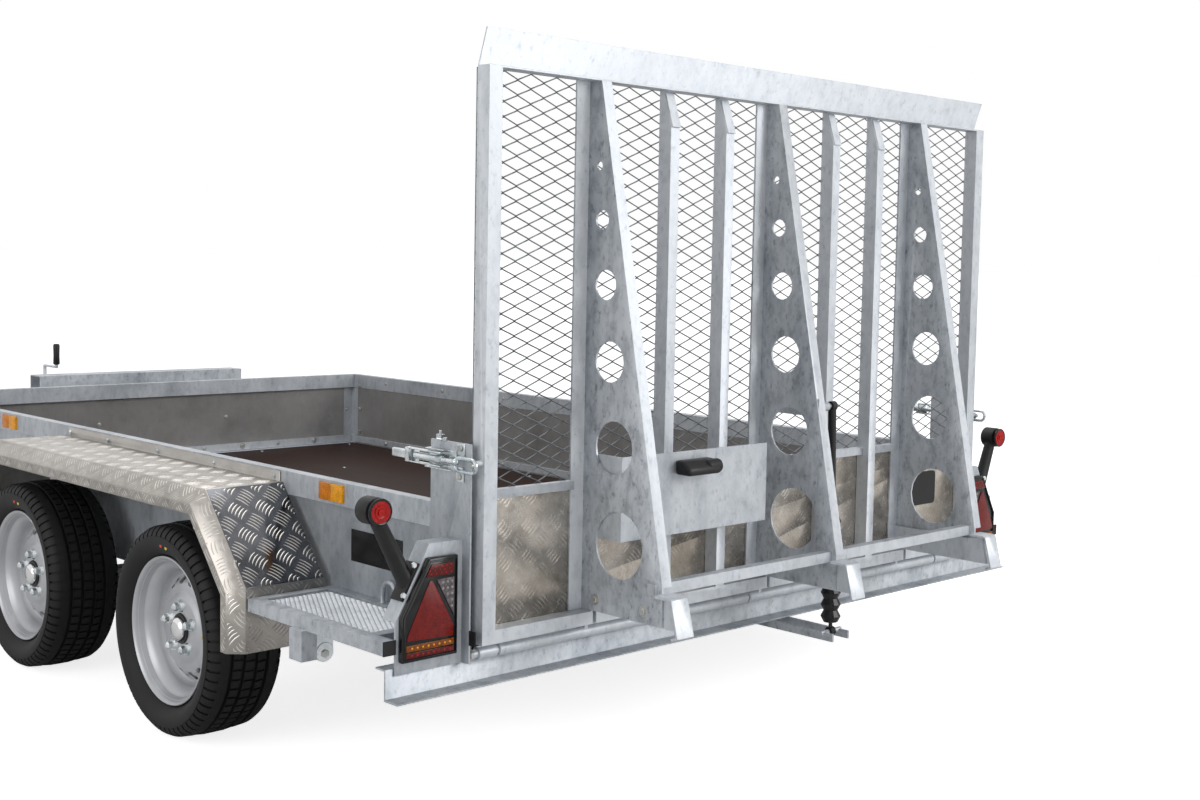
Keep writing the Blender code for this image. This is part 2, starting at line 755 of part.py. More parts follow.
def rib_rear(height):
    """How far behind the ramp's back a rib's rear edge lies at a height."""
    if height <= RIB_HEEL_HIGH:
        return RIB_FOOT_REACH
    share = (height - RIB_HEEL_HIGH) / (top_limit() - RIB_HEEL_HIGH)
    return RIB_FOOT_REACH + (RIB_TOP_REACH - RIB_FOOT_REACH) * share


def make_rib(place):
    """A tapering rib: web with six round holes, front flange and rear flange."""
    half = RIB_SHEET / 2
    top = top_limit() - SEAT
    low = RAMP_LOW + BOTTOM_TUBE_HEIGHT + SEAT
    web = [(FRAME_FRONT, low), (FRAME_FRONT, top), (RAMP_BACK - rib_rear(top), top),
           (RAMP_BACK - RIB_FOOT_REACH, RIB_HEEL_HIGH), (RAMP_BACK - RIB_FOOT_REACH, RIB_FOOT_LOW),
           (RAMP_BACK, RIB_FOOT_LOW), (RAMP_BACK, low)]
    holes = []
    for height, radius in zip(RIB_HOLE_HEIGHTS, RIB_HOLE_RADII):
        middle = (FRAME_FRONT + RAMP_BACK - rib_rear(height)) / 2
        holes.append(circle((middle, height), radius, CURVE_SIDES if radius > CROSS_TUBE else SMALL_SIDES))
    rib = flat("X", web, (place - half, place + half), holes)
    front = block((place - half - RIB_FRONT_FLANGE, place), (FRAME_FRONT - RIB_SHEET, FRAME_FRONT), (low, top))
    run = [(RAMP_BACK - rib_rear(RIB_HEEL_HIGH), RIB_HEEL_HIGH), (RAMP_BACK - rib_rear(top), top),
           (RAMP_BACK - rib_rear(top) + RIB_SHEET, top),
           (RAMP_BACK - rib_rear(RIB_HEEL_HIGH) + RIB_SHEET, RIB_HEEL_HIGH)]
    rear = flat("X", run, (place, place + half + RIB_REAR_FLANGE))
    return fuse(rib, front, rear)


def make_ribs(pivot):
    """Three ribs, the square cross tube that joins them, and the spring's upper pin."""
    ribs = [make_rib(place) for place in RIB_PLACES]
    half = CROSS_TUBE / 2
    end = RIB_SPACING + CROSS_TUBE_END
    cross = block((-end, end), (RAMP_BACK - CROSS_TUBE_REACH - half, RAMP_BACK - CROSS_TUBE_REACH + half),
                  (CROSS_TUBE_HEIGHT - half, CROSS_TUBE_HEIGHT + half))
    pin_y = RAMP_BACK - SPRING_TOP_REACH
    pin = rod((0, pin_y, SPRING_TOP_HEIGHT), (SPRING_X + SPRING_EYE_HALF * 2, pin_y, SPRING_TOP_HEIGHT),
              SPRING_PIN_RADIUS)
    boss = rod((0, pin_y, SPRING_TOP_HEIGHT), (SPRING_X - SPRING_RADIUS * 2, pin_y, SPRING_TOP_HEIGHT),
               SPRING_PIN_RADIUS * 2)
    bracket = block((BITE, SPRING_BRACKET), (pin_y - SPRING_BRACKET_HIGH, RAMP_BACK + BITE),
                    (SPRING_TOP_HEIGHT - SPRING_BRACKET_HIGH, SPRING_TOP_HEIGHT + SPRING_BRACKET_HIGH))
    ribs = fuse(cross, *ribs, bracket, boss, pin)
    finished(cut(ribs, *arm_slots()), "ramp_ribs", "galvanised", pivot)


def make_plates(pivot):
    """The tread plates of the ramp's lower part, as one skin on its load side."""
    half = RAMP_HALF - SEAT
    skin = (FRAME_FRONT + SEAT, RAMP_FRONT)
    span = (RAMP_LOW + SEAT, MID_RAIL_HIGH - PLATE_TUCK)
    finished(cut(block((-half, half), skin, span), *arm_slots()), "ramp_plates", "tread", pivot)


def make_mesh(pivot):
    """The expanded mesh: a sheet with staggered rows of diamond openings."""
    half = RAMP_HALF - SEAT
    skin = (FRAME_FRONT + SEAT, RAMP_FRONT)
    low, high = MID_RAIL_HIGH - PLATE_TUCK + SEAT, top_limit()
    width, height = 2 * (half - MESH_RIM), high - low - 2 * MESH_RIM
    pitch_x, pitch_z = width / MESH_COLUMNS, height / MESH_ROWS
    slope = math.hypot(pitch_x, pitch_z)
    reach_x = pitch_x / 2 - MESH_STRAND / 2 * slope / pitch_z
    reach_z = pitch_z / 2 - MESH_STRAND / 2 * slope / pitch_x
    outline = [(-half, low), (half, low), (half, high), (-half, high)]
    holes = []
    for row in range(2 * MESH_ROWS - 1):
        shift = row % 2
        for column in range(MESH_COLUMNS - shift):
            x = -width / 2 + pitch_x * (column + (1 + shift) / 2)
            z = low + MESH_RIM + pitch_z * (row + 1) / 2
            holes.append([(x - reach_x, z), (x, z - reach_z), (x + reach_x, z), (x, z + reach_z)])
    finished(flat("Y", outline, skin, holes), "ramp_mesh", "galvanised", pivot, smooth=False)


def make_foot(i, pivot):
    """A foot: the arm that turns on the hinge pin, and the bent shoe at its end."""
    span = arm_span(i)
    sweep = CIRCLE / 2
    eye = circle((HINGE_Y, HINGE_HEIGHT), ARM_EYE_RADIUS, SMALL_SIDES, -sweep, sweep)
    outline = eye + [(HINGE_Y + ARM_EYE_RADIUS, ARM_LOW - ARM_THICK), (HINGE_Y + ARM_TIP, (ARM_LOW + ARM_HIGH) / 2),
                     (HINGE_Y + ARM_EYE_RADIUS, ARM_HIGH), (RAMP_BACK - RIB_FOOT_REACH, ARM_HIGH),
                     (RAMP_BACK - ARM_REACH + SHOE_LEAN, SHOE_HIGH - SHOE_SHEET + BITE),
                     (RAMP_BACK - ARM_REACH, ARM_LOW), (HINGE_Y - ARM_EYE_RADIUS, ARM_LOW)]
    bore = circle((HINGE_Y, HINGE_HEIGHT), HINGE_PIN_RADIUS + RUNNING, MIDDLE_SIDES)
    arm = flat("X", outline, span, [bore])
    low_back = RAMP_BACK - SHOE_REACH + SHOE_SHEET / 2
    high_back = low_back + SHOE_LEAN
    line = [(high_back + SHOE_TOP, SHOE_HIGH - SHOE_SHEET / 2), (high_back + SHOE_SHEET, SHOE_HIGH - SHOE_SHEET / 2),
            (high_back, SHOE_HIGH - SHOE_SHEET), (low_back, SHOE_LOW + SHOE_SHEET), (low_back + SHOE_HOOK, SHOE_LOW)]
    middle = RIB_PLACES[i]
    shoe = flat("X", band(line, SHOE_SHEET), (middle - SHOE_WIDTH / 2, middle + SHOE_WIDTH / 2))
    finished(fuse(arm, shoe), ("foot_left", "foot_middle", "foot_right")[i], "galvanised", pivot)


def make_board(pivot):
    """The blank number plate board, folded round to the left rib's web."""
    left = RIB_PLACES[0] + RIB_SHEET / 2 + SEAT
    right = left + BOARD_WIDTH
    face = RAMP_BACK - BOARD_REACH
    line = [(left + BOARD_SHEET / 2, face + BOARD_WING), (left + BOARD_SHEET / 2, face), (right, face)]
    board = flat("Z", band(line, BOARD_SHEET), (BOARD_LOW, BOARD_HIGH))
    fold = block((left, right), (face, face + BOARD_FOLD), (BOARD_LOW, BOARD_LOW + BOARD_SHEET))
    finished(fuse(board, fold), "number_board", "galvanised", pivot)
    x = (left + PLATE_LAMP_INSET, left + PLATE_LAMP_INSET + PLATE_LAMP_WIDTH)
    back = face - BOARD_SHEET / 2 - SEAT
    top = BOARD_HIGH - PLATE_LAMP_DROP
    outline = [(back, top), (back - PLATE_LAMP_DEPTH / 2, top), (back - PLATE_LAMP_DEPTH, top - PLATE_LAMP_HEIGHT / 2),
               (back - PLATE_LAMP_DEPTH, top - PLATE_LAMP_HEIGHT), (back, top - PLATE_LAMP_HEIGHT)]
    finished(flat("X", outline, x), "plate_lamp", "black", pivot)


# Spring of the ramp

def make_spring_lever():
    """Twin bars under the sill that hold the spring's foot between them."""
    foot_y = RAMP_BACK - SPRING_FOOT_REACH
    front = CHASSIS_BACK + LEVER_FRONT_IN
    half = LEVER_HEIGHT / 2
    tail = foot_y - LEVER_TAIL
    drop = SPRING_FOOT_HEIGHT - LEVER_SINK
    outline = [(tail, drop + half), (tail, drop - half), (front, drop - half), (front, drop + half)]
    inner, outer = LEVER_GAP / 2, LEVER_GAP / 2 + LEVER_BAR
    bars = [flat("X", outline, (SPRING_X + low, SPRING_X + high)) for low, high in ((-outer, -inner), (inner, outer))]
    spacer = block((SPRING_X - inner - BITE, SPRING_X + inner + BITE), (front - LEVER_BLOCK, front),
                   (drop - half, BEARER_LOW - SEAT))
    reach = SPRING_EYE_HALF + SEAT * 2
    stubs = [rod((SPRING_X + side * reach, foot_y, SPRING_FOOT_HEIGHT),
                 (SPRING_X + side * (outer + LEVER_BAR), foot_y, SPRING_FOOT_HEIGHT), SPRING_PIN_RADIUS)
             for side in (-1, 1)]
    finished(fuse(spacer, *bars, *stubs), "spring_lever", "galvanised")


def spring_axis():
    """The spring's two pins at rest, and the direction from the upper to the lower one."""
    top = Vector((SPRING_X, RAMP_BACK - SPRING_TOP_REACH, SPRING_TOP_HEIGHT))
    foot = Vector((SPRING_X, RAMP_BACK - SPRING_FOOT_REACH, SPRING_FOOT_HEIGHT))
    return top, foot, (foot - top).normalized()


def turned_along(profile, sides, start, direction):
    """A turned shape whose axis starts at a point and runs in a direction."""
    piece = turned(profile, sides, "Z")
    turn = direction.to_track_quat("Z", "Y").to_matrix().to_4x4()
    piece.data.transform(Matrix.Translation(start) @ turn)
    return piece


def make_spring(ramp_pivot):
    """The spring's barrel on the ramp, and its rod with the bellows, which slides in it."""
    top, foot, down = spring_axis()
    pivot = pivot_at("spring_top_pin", top, ramp_pivot)
    bore = SPRING_ROD_RADIUS + RUNNING
    profile = [(0, SPRING_EYE_HALF), (SPRING_RADIUS, SPRING_EYE_HALF), (SPRING_RADIUS, SPRING_BARREL),
               (bore, SPRING_BARREL), (bore, SPRING_BORE_TOP), (0, SPRING_BORE_TOP)]
    barrel = turned_along(profile, MIDDLE_SIDES, top, down)
    eye = rod(top - Vector((SPRING_EYE_HALF, 0, 0)), top + Vector((SPRING_EYE_HALF, 0, 0)),
              SPRING_PIN_RADIUS * 2, MIDDLE_SIDES)
    hole = rod(top - Vector((SPRING_RADIUS * 2, 0, 0)), top + Vector((SPRING_RADIUS * 2, 0, 0)),
               SPRING_PIN_RADIUS + RUNNING, MIDDLE_SIDES)
    finished(cut(fuse(barrel, eye), hole), "spring_barrel", "black", pivot)
    slide = pivot_at("spring_slide", top, pivot)
    length = (foot - top).length
    rod_top = length - SPRING_BARREL + SPRING_ROD_TUCK
    sleeve_top = length - SPRING_BARREL + SPRING_EYE_HALF
    profile = [(0, 0), (SPRING_ROD_RADIUS, 0), (SPRING_ROD_RADIUS, BELLOWS_START), (BELLOWS_VALLEY, BELLOWS_START)]
    pitch = (sleeve_top - BELLOWS_START) / BELLOWS_TURNS
    for turn in range(BELLOWS_TURNS):
        profile += [(BELLOWS_OUTER, BELLOWS_START + pitch * (turn + 1 / 2)),
                    (BELLOWS_VALLEY, BELLOWS_START + pitch * (turn + 1))]
    profile += [(BELLOWS_INNER, sleeve_top), (BELLOWS_INNER, BELLOWS_START + SLEEVE_FLOOR),
                (SPRING_ROD_RADIUS, BELLOWS_START + SLEEVE_FLOOR), (SPRING_ROD_RADIUS, rod_top), (0, rod_top)]
    shaft = turned_along(profile, SMALL_SIDES, foot, -down)
    eye = rod(foot - Vector((SPRING_EYE_HALF, 0, 0)), foot + Vector((SPRING_EYE_HALF, 0, 0)),
              SPRING_PIN_RADIUS * 2, MIDDLE_SIDES)
    finished(fuse(shaft, eye), "spring_rod", "rubber", slide)


# Wheels and axles

def make_wheel(name, side, y):
    """A tyre and its rim, which holds the hub and its cap."""
    centre = Vector((side * WHEEL_X, y, TYRE_RADIUS))
    pivot = pivot_at(name + "_axis", centre)
    half, edge = TYRE_WIDTH / 2, RIM_HALF - RIM_SEAT_IN
    bead = RIM_RADIUS + SEAT
    shoulder = TYRE_RADIUS - TYRE_SHOULDER
    profile = [(bead, edge), (SIDEWALL_FOOT, RIM_HALF + SEAT), (SIDEWALL_WIDE, half),
               (shoulder, half - TYRE_SHOULDER), (TYRE_RADIUS, half - TYRE_CROWN_IN)]
    ring = profile + [(radius, -place) for radius, place in reversed(profile)]
    finished(turned(ring, TYRE_SIDES, "X", centre, closed=True), "tyre_" + name, "rubber", pivot)
    outline = [(0, HUB_CAP_OUT), (HUB_CAP_RADIUS, HUB_CAP_OUT), (HUB_CAP_RADIUS, DISC_OUT),
               (DISC_CROWN_RADIUS, DISC_OUT), (DISC_SLOPE_RADIUS, DISC_IN), (WELL_RADIUS - RIM_SHEET, DISC_IN),
               (RIM_RADIUS - LIP_BULGE, RIM_HALF), (RIM_RADIUS, RIM_HALF), (RIM_RADIUS, edge),
               (WELL_RADIUS, WELL_HALF), (WELL_RADIUS, -WELL_HALF), (RIM_RADIUS, -edge), (RIM_RADIUS, -RIM_HALF),
               (RIM_RADIUS - LIP_BULGE, -RIM_HALF), (WELL_RADIUS - RIM_SHEET, -WELL_HALF),
               (WELL_RADIUS - RIM_SHEET, DISC_IN - RIM_SHEET), (DISC_SLOPE_RADIUS, DISC_IN - RIM_SHEET),
               (HUB_RADIUS, DISC_OUT - RIM_SHEET), (HUB_RADIUS, -HUB_IN), (STUB_RADIUS + RUNNING, -HUB_IN),
               (STUB_RADIUS + RUNNING, STUB_OUT + RUNNING), (0, STUB_OUT + RUNNING)]
    rim = turned([(radius, side * place) for radius, place in outline], RIM_SIDES, "X", centre)
    finished(rim, "rim_" + name, "rim", pivot)


# Sections of a wheel: radii, and places out from its middle plane
TYRE_SHOULDER = 0.012
TYRE_CROWN_IN = 0.030
SIDEWALL_FOOT = 0.192
SIDEWALL_WIDE = 0.222
RIM_SEAT_IN = 0.008
RIM_SHEET = 0.006
LIP_BULGE = 0.010
WELL_RADIUS = 0.152
WELL_HALF = 0.022
DISC_OUT = 0.040
DISC_IN = 0.012
DISC_CROWN_RADIUS = 0.075
DISC_SLOPE_RADIUS = 0.120
HUB_CAP_RADIUS = 0.029
HUB_CAP_OUT = 0.058
HUB_RADIUS = 0.045
HUB_IN = 0.045
STUB_OUT = 0.015


def make_axle(name, y):
    """An axle beam with a trailing arm, stub axle and back plate at each end."""
    beam_y = y + AXLE_TRAIL
    beam_z = DRAWBAR_LOW - SEAT - AXLE_TUBE / 2
    half = AXLE_TUBE / 2
    beam = block((-AXLE_HALF, AXLE_HALF), (beam_y - half, beam_y + half), (beam_z - half, beam_z + half))
    pieces = []
    for side in (-1, 1):
        inner = side * (AXLE_HALF - BITE)
        outer = side * (AXLE_HALF + ARM_WIDTH)
        arm = band([(beam_y, beam_z), (y, TYRE_RADIUS)], half * 2 - SHOE_SHEET)
        pieces.append(flat("X", arm, tuple(sorted((inner, outer)))))
        drum = side * DRUM_INNER
        pieces.append(rod((inner, y, TYRE_RADIUS), (drum + side * BITE, y, TYRE_RADIUS), ARM_BOSS_RADIUS, MIDDLE_SIDES))
        plate = side * (WHEEL_X - HUB_IN - RUNNING * 2)
        pieces.append(rod((drum, y, TYRE_RADIUS), (plate, y, TYRE_RADIUS), BACK_PLATE_RADIUS, MIDDLE_SIDES))
        pieces.append(rod((plate - side * BITE, y, TYRE_RADIUS), (side * (WHEEL_X + STUB_OUT), y, TYRE_RADIUS),
                          STUB_RADIUS, RIM_SIDES))
    finished(fuse(beam, *pieces), name, "black")


# Guards, steps and lamps

def guard_outline(inset, low):
    """The side view of a guard, drawn in by its sheet's thickness."""
    ends = []
    for sign in (-1, 1):
        back = GUARD_MIDDLE_Y + sign * (GUARD_BACK_REACH - inset)
        top = GUARD_MIDDLE_Y + sign * (GUARD_TOP_REACH - inset * 2 / 3)
        ends.append([(back, low), (back, GUARD_SHOULDER - inset / 3), (top, GUARD_TOP - inset)])
    return ends[0] + ends[1][::-1]


def guard_block(inset, low):
    """A solid guard shape, drawn in by its sheet's thickness, with its outer edges bevelled."""
    inner = -FLANGE_INNER if inset == 0 else -FLANGE_INNER + OVERRUN
    piece = flat("X", guard_outline(inset, low), (-GUARD_OUTER + inset, inner))
    shape = bmesh.new()
    shape.from_mesh(piece.data)
    bmesh.ops.dissolve_limit(shape, angle_limit=FLAT_ANGLE, verts=shape.verts, edges=shape.edges)
    outer = -GUARD_OUTER + inset + SEAT
    edges = [edge for edge in shape.edges if all(vert.co.x < outer for vert in edge.verts)
             and max(vert.co.z for vert in edge.verts) > low + SEAT]
    bmesh.ops.bevel(shape, geom=edges, offset=GUARD_CHAMFER - inset * CORNER_SHARE, offset_type="OFFSET",
                    segments=1, profile=1 / 2, affect="EDGES", clamp_overlap=True)
    bmesh.ops.recalc_face_normals(shape, faces=shape.faces)
    shape.to_mesh(piece.data)
    shape.free()
    return piece


def make_guards():
    """Both wheel guards: one folded sheet with skirt, upstand and bevelled ends."""
    shell = cut(guard_block(0, GUARD_LOW), guard_block(GUARD_SHEET, GUARD_LOW - OVERRUN))
    skirt_low = GUARD_TOP - GUARD_SKIRT
    wide = GUARD_BACK_REACH - GUARD_END_STRIP
    opening = []
    for sign in (-1, 1):
        opening.append([(GUARD_MIDDLE_Y + sign * wide, GUARD_LOW - OVERRUN),
                        (GUARD_MIDDLE_Y + sign * wide, GUARD_MOUTH_SHOULDER),
                        (GUARD_MIDDLE_Y + sign * GUARD_MOUTH_HALF, skirt_low)])
    mouth = flat("X", opening[0] + opening[1][::-1],
                 (-GUARD_OUTER - OVERRUN, -GUARD_OUTER + GUARD_SHEET + GUARD_SHEET))
    shell = cut(shell, mouth)
    upstand = block((-FLANGE_INNER - GUARD_SHEET, -FLANGE_INNER),
                    (GUARD_MIDDLE_Y - GUARD_TOP_REACH + OVERRUN, GUARD_MIDDLE_Y + GUARD_TOP_REACH - OVERRUN),
                    (GUARD_TOP - GUARD_SHEET / 2, GUARD_TOP + GUARD_UPSTAND))
    both_sides(fuse(shell, upstand), "guard", "tread")


def make_steps():
    """Both steps: a bar frame with a lashing hoop and a hanger, round a slotted tread."""
    inner = WALL_INNER + WALL_SHEET + SEAT
    high = (STEP_TOP - STEP_BAR_HEIGHT, STEP_TOP)
    tail = LAMP_PLATE_BACK + LAMP_FLANGE + STEP_TAIL_CLEAR
    front = RAMP_BACK + STEP_LENGTH
    outer = block((-STEP_OUTER, -STEP_OUTER + STEP_BAR_WIDTH), (RAMP_BACK + STEP_BACK_IN, front), high)
    bars = [block((-inner - STEP_BAR_WIDTH, -inner), (tail, front), high),
            block((-STEP_OUTER + BITE, -inner - BITE), (front - STEP_BAR_WIDTH, front), high),
            block((-STEP_OUTER + BITE, -inner - BITE), (tail, tail + STEP_BAR_WIDTH), high)]
    tread_z = (STEP_TOP - STEP_TREAD_DROP - STEP_TREAD, STEP_TOP - STEP_TREAD_DROP)
    left, right = -STEP_OUTER + STEP_BAR_WIDTH + SEAT, -inner - STEP_BAR_WIDTH - SEAT
    back, ahead = tail + STEP_BAR_WIDTH + SEAT, front - STEP_BAR_WIDTH - SEAT
    slots = []
    pitch_x = (right - left - 2 * STEP_SLOT_MARGIN) / STEP_SLOT_ROWS
    pitch_y = (ahead - back - 2 * STEP_SLOT_MARGIN) / STEP_SLOT_COLUMNS
    for row in range(STEP_SLOT_ROWS):
        for column in range(STEP_SLOT_COLUMNS):
            x = left + STEP_SLOT_MARGIN + pitch_x * (row + 1 / 2)
            y = back + STEP_SLOT_MARGIN + pitch_y * (column + 1 / 2)
            half_x, half_y = pitch_x / 2 - BITE * 4, pitch_y / 2 - BITE * 4
            slots.append([(x - half_x, y), (x, y - half_y), (x + half_x, y), (x, y + half_y)])
    tread = flat("Z", [(left, back), (right, back), (right, ahead), (left, ahead)], tread_z, slots)
    hoop_y = RAMP_BACK + HOOP_IN
    hoop_x = -inner - STEP_BAR_WIDTH / 2
    arc = circle((hoop_y, STEP_TOP + HOOP_HEIGHT - HOOP_HALF), HOOP_HALF, SMALL_SIDES // 2, 0, CIRCLE / 2)
    points = [(hoop_x, hoop_y + HOOP_HALF, STEP_TOP - HOOP_RADIUS)]
    points += [(hoop_x, y, z) for y, z in arc] + [(hoop_x, hoop_y - HOOP_HALF, STEP_TOP - HOOP_RADIUS)]
    hoop = tube(points, HOOP_RADIUS)
    hanger_x = (-STEP_OUTER + STEP_BAR_WIDTH - HANGER_WIDTH, -STEP_OUTER + STEP_BAR_WIDTH - BITE)
    hanger = block(hanger_x, (RAMP_BACK + HANGER_IN, RAMP_BACK + HANGER_IN + HANGER_LENGTH),
                   (high[0] - HANGER_DROP, high[0] + BITE))
    both_sides(fuse(outer, *bars, hoop, hanger), "step", "galvanised")
    both_sides(tread, "step_tread", "galvanised")


def make_corners():
    """Both rear corners: latch plate, end flange, lamp plate and its bent edge."""
    front = BED_BACK + LATCH_PLATE_LENGTH
    foot = LAMP_PLATE_BACK + LAMP_FLANGE
    flange = [(CORNER_BACK, LAMP_PLATE_LOW), (CORNER_BACK, LATCH_PLATE_HIGH), (front, LATCH_PLATE_HIGH),
              (front, STEP_TOP + SEAT), (foot, STEP_TOP + SEAT), (foot, FLOOR_LOW),
              (SILL_BACK - SEAT, FLOOR_LOW), (SILL_BACK - SEAT, LAMP_PLATE_LOW)]
    piece = flat("X", flange, (-FLANGE_OUTER, -FLANGE_INNER))
    plate_y = LAMP_PLATE_BACK
    plate = [(-FLANGE_INNER - BITE, LAMP_PLATE_LOW), (-LAMP_PLATE_OUTER, LAMP_PLATE_LOW),
             (-LAMP_PLATE_OUTER, LAMP_PLATE_KNEE), (-LAMP_PLATE_SHOULDER, LAMP_PLATE_HIGH),
             (-FLANGE_INNER - BITE, LAMP_PLATE_HIGH)]
    lamp_plate = flat("Y", plate, (plate_y, plate_y + CORNER_SHEET))
    edge = [(-LAMP_PLATE_OUTER + CORNER_SHEET / 2, LAMP_PLATE_KNEE),
            (-LAMP_PLATE_SHOULDER + CORNER_SHEET / 2, LAMP_PLATE_HIGH - CORNER_SHEET / 2),
            (-FLANGE_INNER - BITE, LAMP_PLATE_HIGH - CORNER_SHEET / 2)]
    lip = flat("Y", band(edge, CORNER_SHEET), (plate_y + CORNER_SHEET / 2, plate_y + LAMP_FLANGE))
    both_sides(fuse(piece, lamp_plate, lip), "rear_corner", "galvanised")


def make_tail_lamps():
    """Both tail lamps, bevelled at the upper outer corner."""
    front = LAMP_PLATE_BACK - SEAT
    outline = [(-LAMP_INNER, LAMP_LOW), (-LAMP_OUTER, LAMP_LOW), (-LAMP_OUTER, LAMP_KNEE),
               (-LAMP_SHOULDER, LAMP_HIGH), (-LAMP_INNER, LAMP_HIGH)]
    both_sides(flat("Y", outline, (front - LAMP_DEPTH, front)), "tail_lamp", "red")


def make_marker_lamps():
    """Both marker lamps: base, rubber arm and round head with a lens each way."""
    base_y = LAMP_PLATE_BACK + LAMP_FLANGE / 2
    low = Vector((-LAMP_PLATE_OUTER, 0, LAMP_PLATE_KNEE))
    high = Vector((-LAMP_PLATE_SHOULDER, 0, LAMP_PLATE_HIGH))
    along = (high - low).normalized()
    out = Vector((-along.z, 0, along.x))
    start = low.lerp(high, 1 / 2) + out * SEAT
    a, b = start - along * MARKER_BASE_LENGTH / 2, start + along * MARKER_BASE_LENGTH / 2
    c, d = b + out * MARKER_BASE_THICK, a + out * MARKER_BASE_THICK
    base = flat("Y", [(p.x, p.z) for p in (a, b, c, d)],
                (base_y - MARKER_BASE_WIDTH / 2, base_y + MARKER_BASE_WIDTH / 2))
    middle = start + Vector((0, base_y, 0)) + out * BITE
    head = Vector((-MARKER_OUTER, RAMP_BACK + MARKER_HEAD_IN, MARKER_HEIGHT))
    root = middle - (head - middle).normalized() * MARKER_ROOT_RADIUS
    far = MARKER_BASE_LENGTH
    below = [middle - along * far, middle + along * far, middle + (along - out) * far, middle - (along + out) * far]
    under = flat("Y", [(p.x, p.z) for p in below], (base_y - far, base_y + far))
    arm = cut(rod(root, head, MARKER_ROOT_RADIUS, MIDDLE_SIDES, MARKER_ARM_RADIUS), under)
    length = Vector((0, MARKER_HEAD_LENGTH / 2, 0))
    lens = rod(head - length, head + length, MARKER_HEAD_RADIUS, MIDDLE_SIDES)
    both_sides(fuse(base, arm, lens), "marker_lamp", "rubber")


def make_latches():
    """Both over-centre latches: base, body, handle and the loop round the keeper."""
    base_x = -FLANGE_OUTER - SEAT
    y = (BED_BACK + LATCH_LOOP_END, BED_BACK + LATCH_PLATE_LENGTH + LATCH_LOOP_END)
    z = (LATCH_HEIGHT - LATCH_BODY_HEIGHT / 2, LATCH_HEIGHT + LATCH_BODY_HEIGHT / 2)
    base = block((base_x - LATCH_BASE, base_x), y, (z[0] - LATCH_BASE, z[1] + LATCH_BASE))
    body_y = (y[1] - LATCH_BODY_LENGTH, y[1])
    body = block((base_x - LATCH_BODY_DEPTH, base_x - BITE), body_y, z)
    wire_x = base_x - LATCH_BODY_DEPTH / 2
    handle = rod((wire_x, y[1] - BITE, LATCH_HEIGHT), (wire_x, y[1] + LATCH_HANDLE, LATCH_HEIGHT),
                 LATCH_HANDLE_RADIUS)
    keeper_y = RAMP_BACK + KEEPER_INSET
    loop_end = circle((keeper_y - LATCH_LOOP_END, LATCH_HEIGHT), LATCH_LOOP_HALF, SMALL_SIDES // 2,
                      CIRCLE / 4, CIRCLE / 2)
    points = [(wire_x, body_y[0] + OVERRUN, LATCH_HEIGHT + LATCH_LOOP_HALF)]
    points += [(wire_x, y_loop, z_loop) for y_loop, z_loop in loop_end]
    points += [(wire_x, body_y[0] + OVERRUN, LATCH_HEIGHT - LATCH_LOOP_HALF)]
    both_sides(fuse(base, body, handle, tube(points, LATCH_WIRE)), "latch", "zinc")


# Drawbar gear

def make_bucket_rest():
    """The folded beam ahead of the front wall, on two legs from the drawbar."""
    back = BED_FRONT + REST_AHEAD - REST_DEPTH / 2
    front = back + REST_DEPTH
    line = [(back + REST_SHEET / 2, REST_TOP - REST_HEIGHT), (back + REST_SHEET / 2, REST_TOP - REST_SHEET / 2),
            (front - REST_SHEET / 2, REST_TOP - REST_SHEET / 2), (front - REST_SHEET / 2, REST_TOP - REST_HEIGHT)]
    beam = flat("X", band(line, REST_SHEET), (-REST_HALF, REST_HALF))
    y = BED_FRONT + REST_AHEAD
    x = drawbar_half(y)
    half = REST_LEG / 2
    legs = [block((side * x - half, side * x + half), (y - half, y + half),
                  (BEARER_LOW + BITE + SEAT, REST_TOP - REST_SHEET / 2)) for side in (-1, 1)]
    finished(fuse(beam, *legs), "bucket_rest", "galvanised")


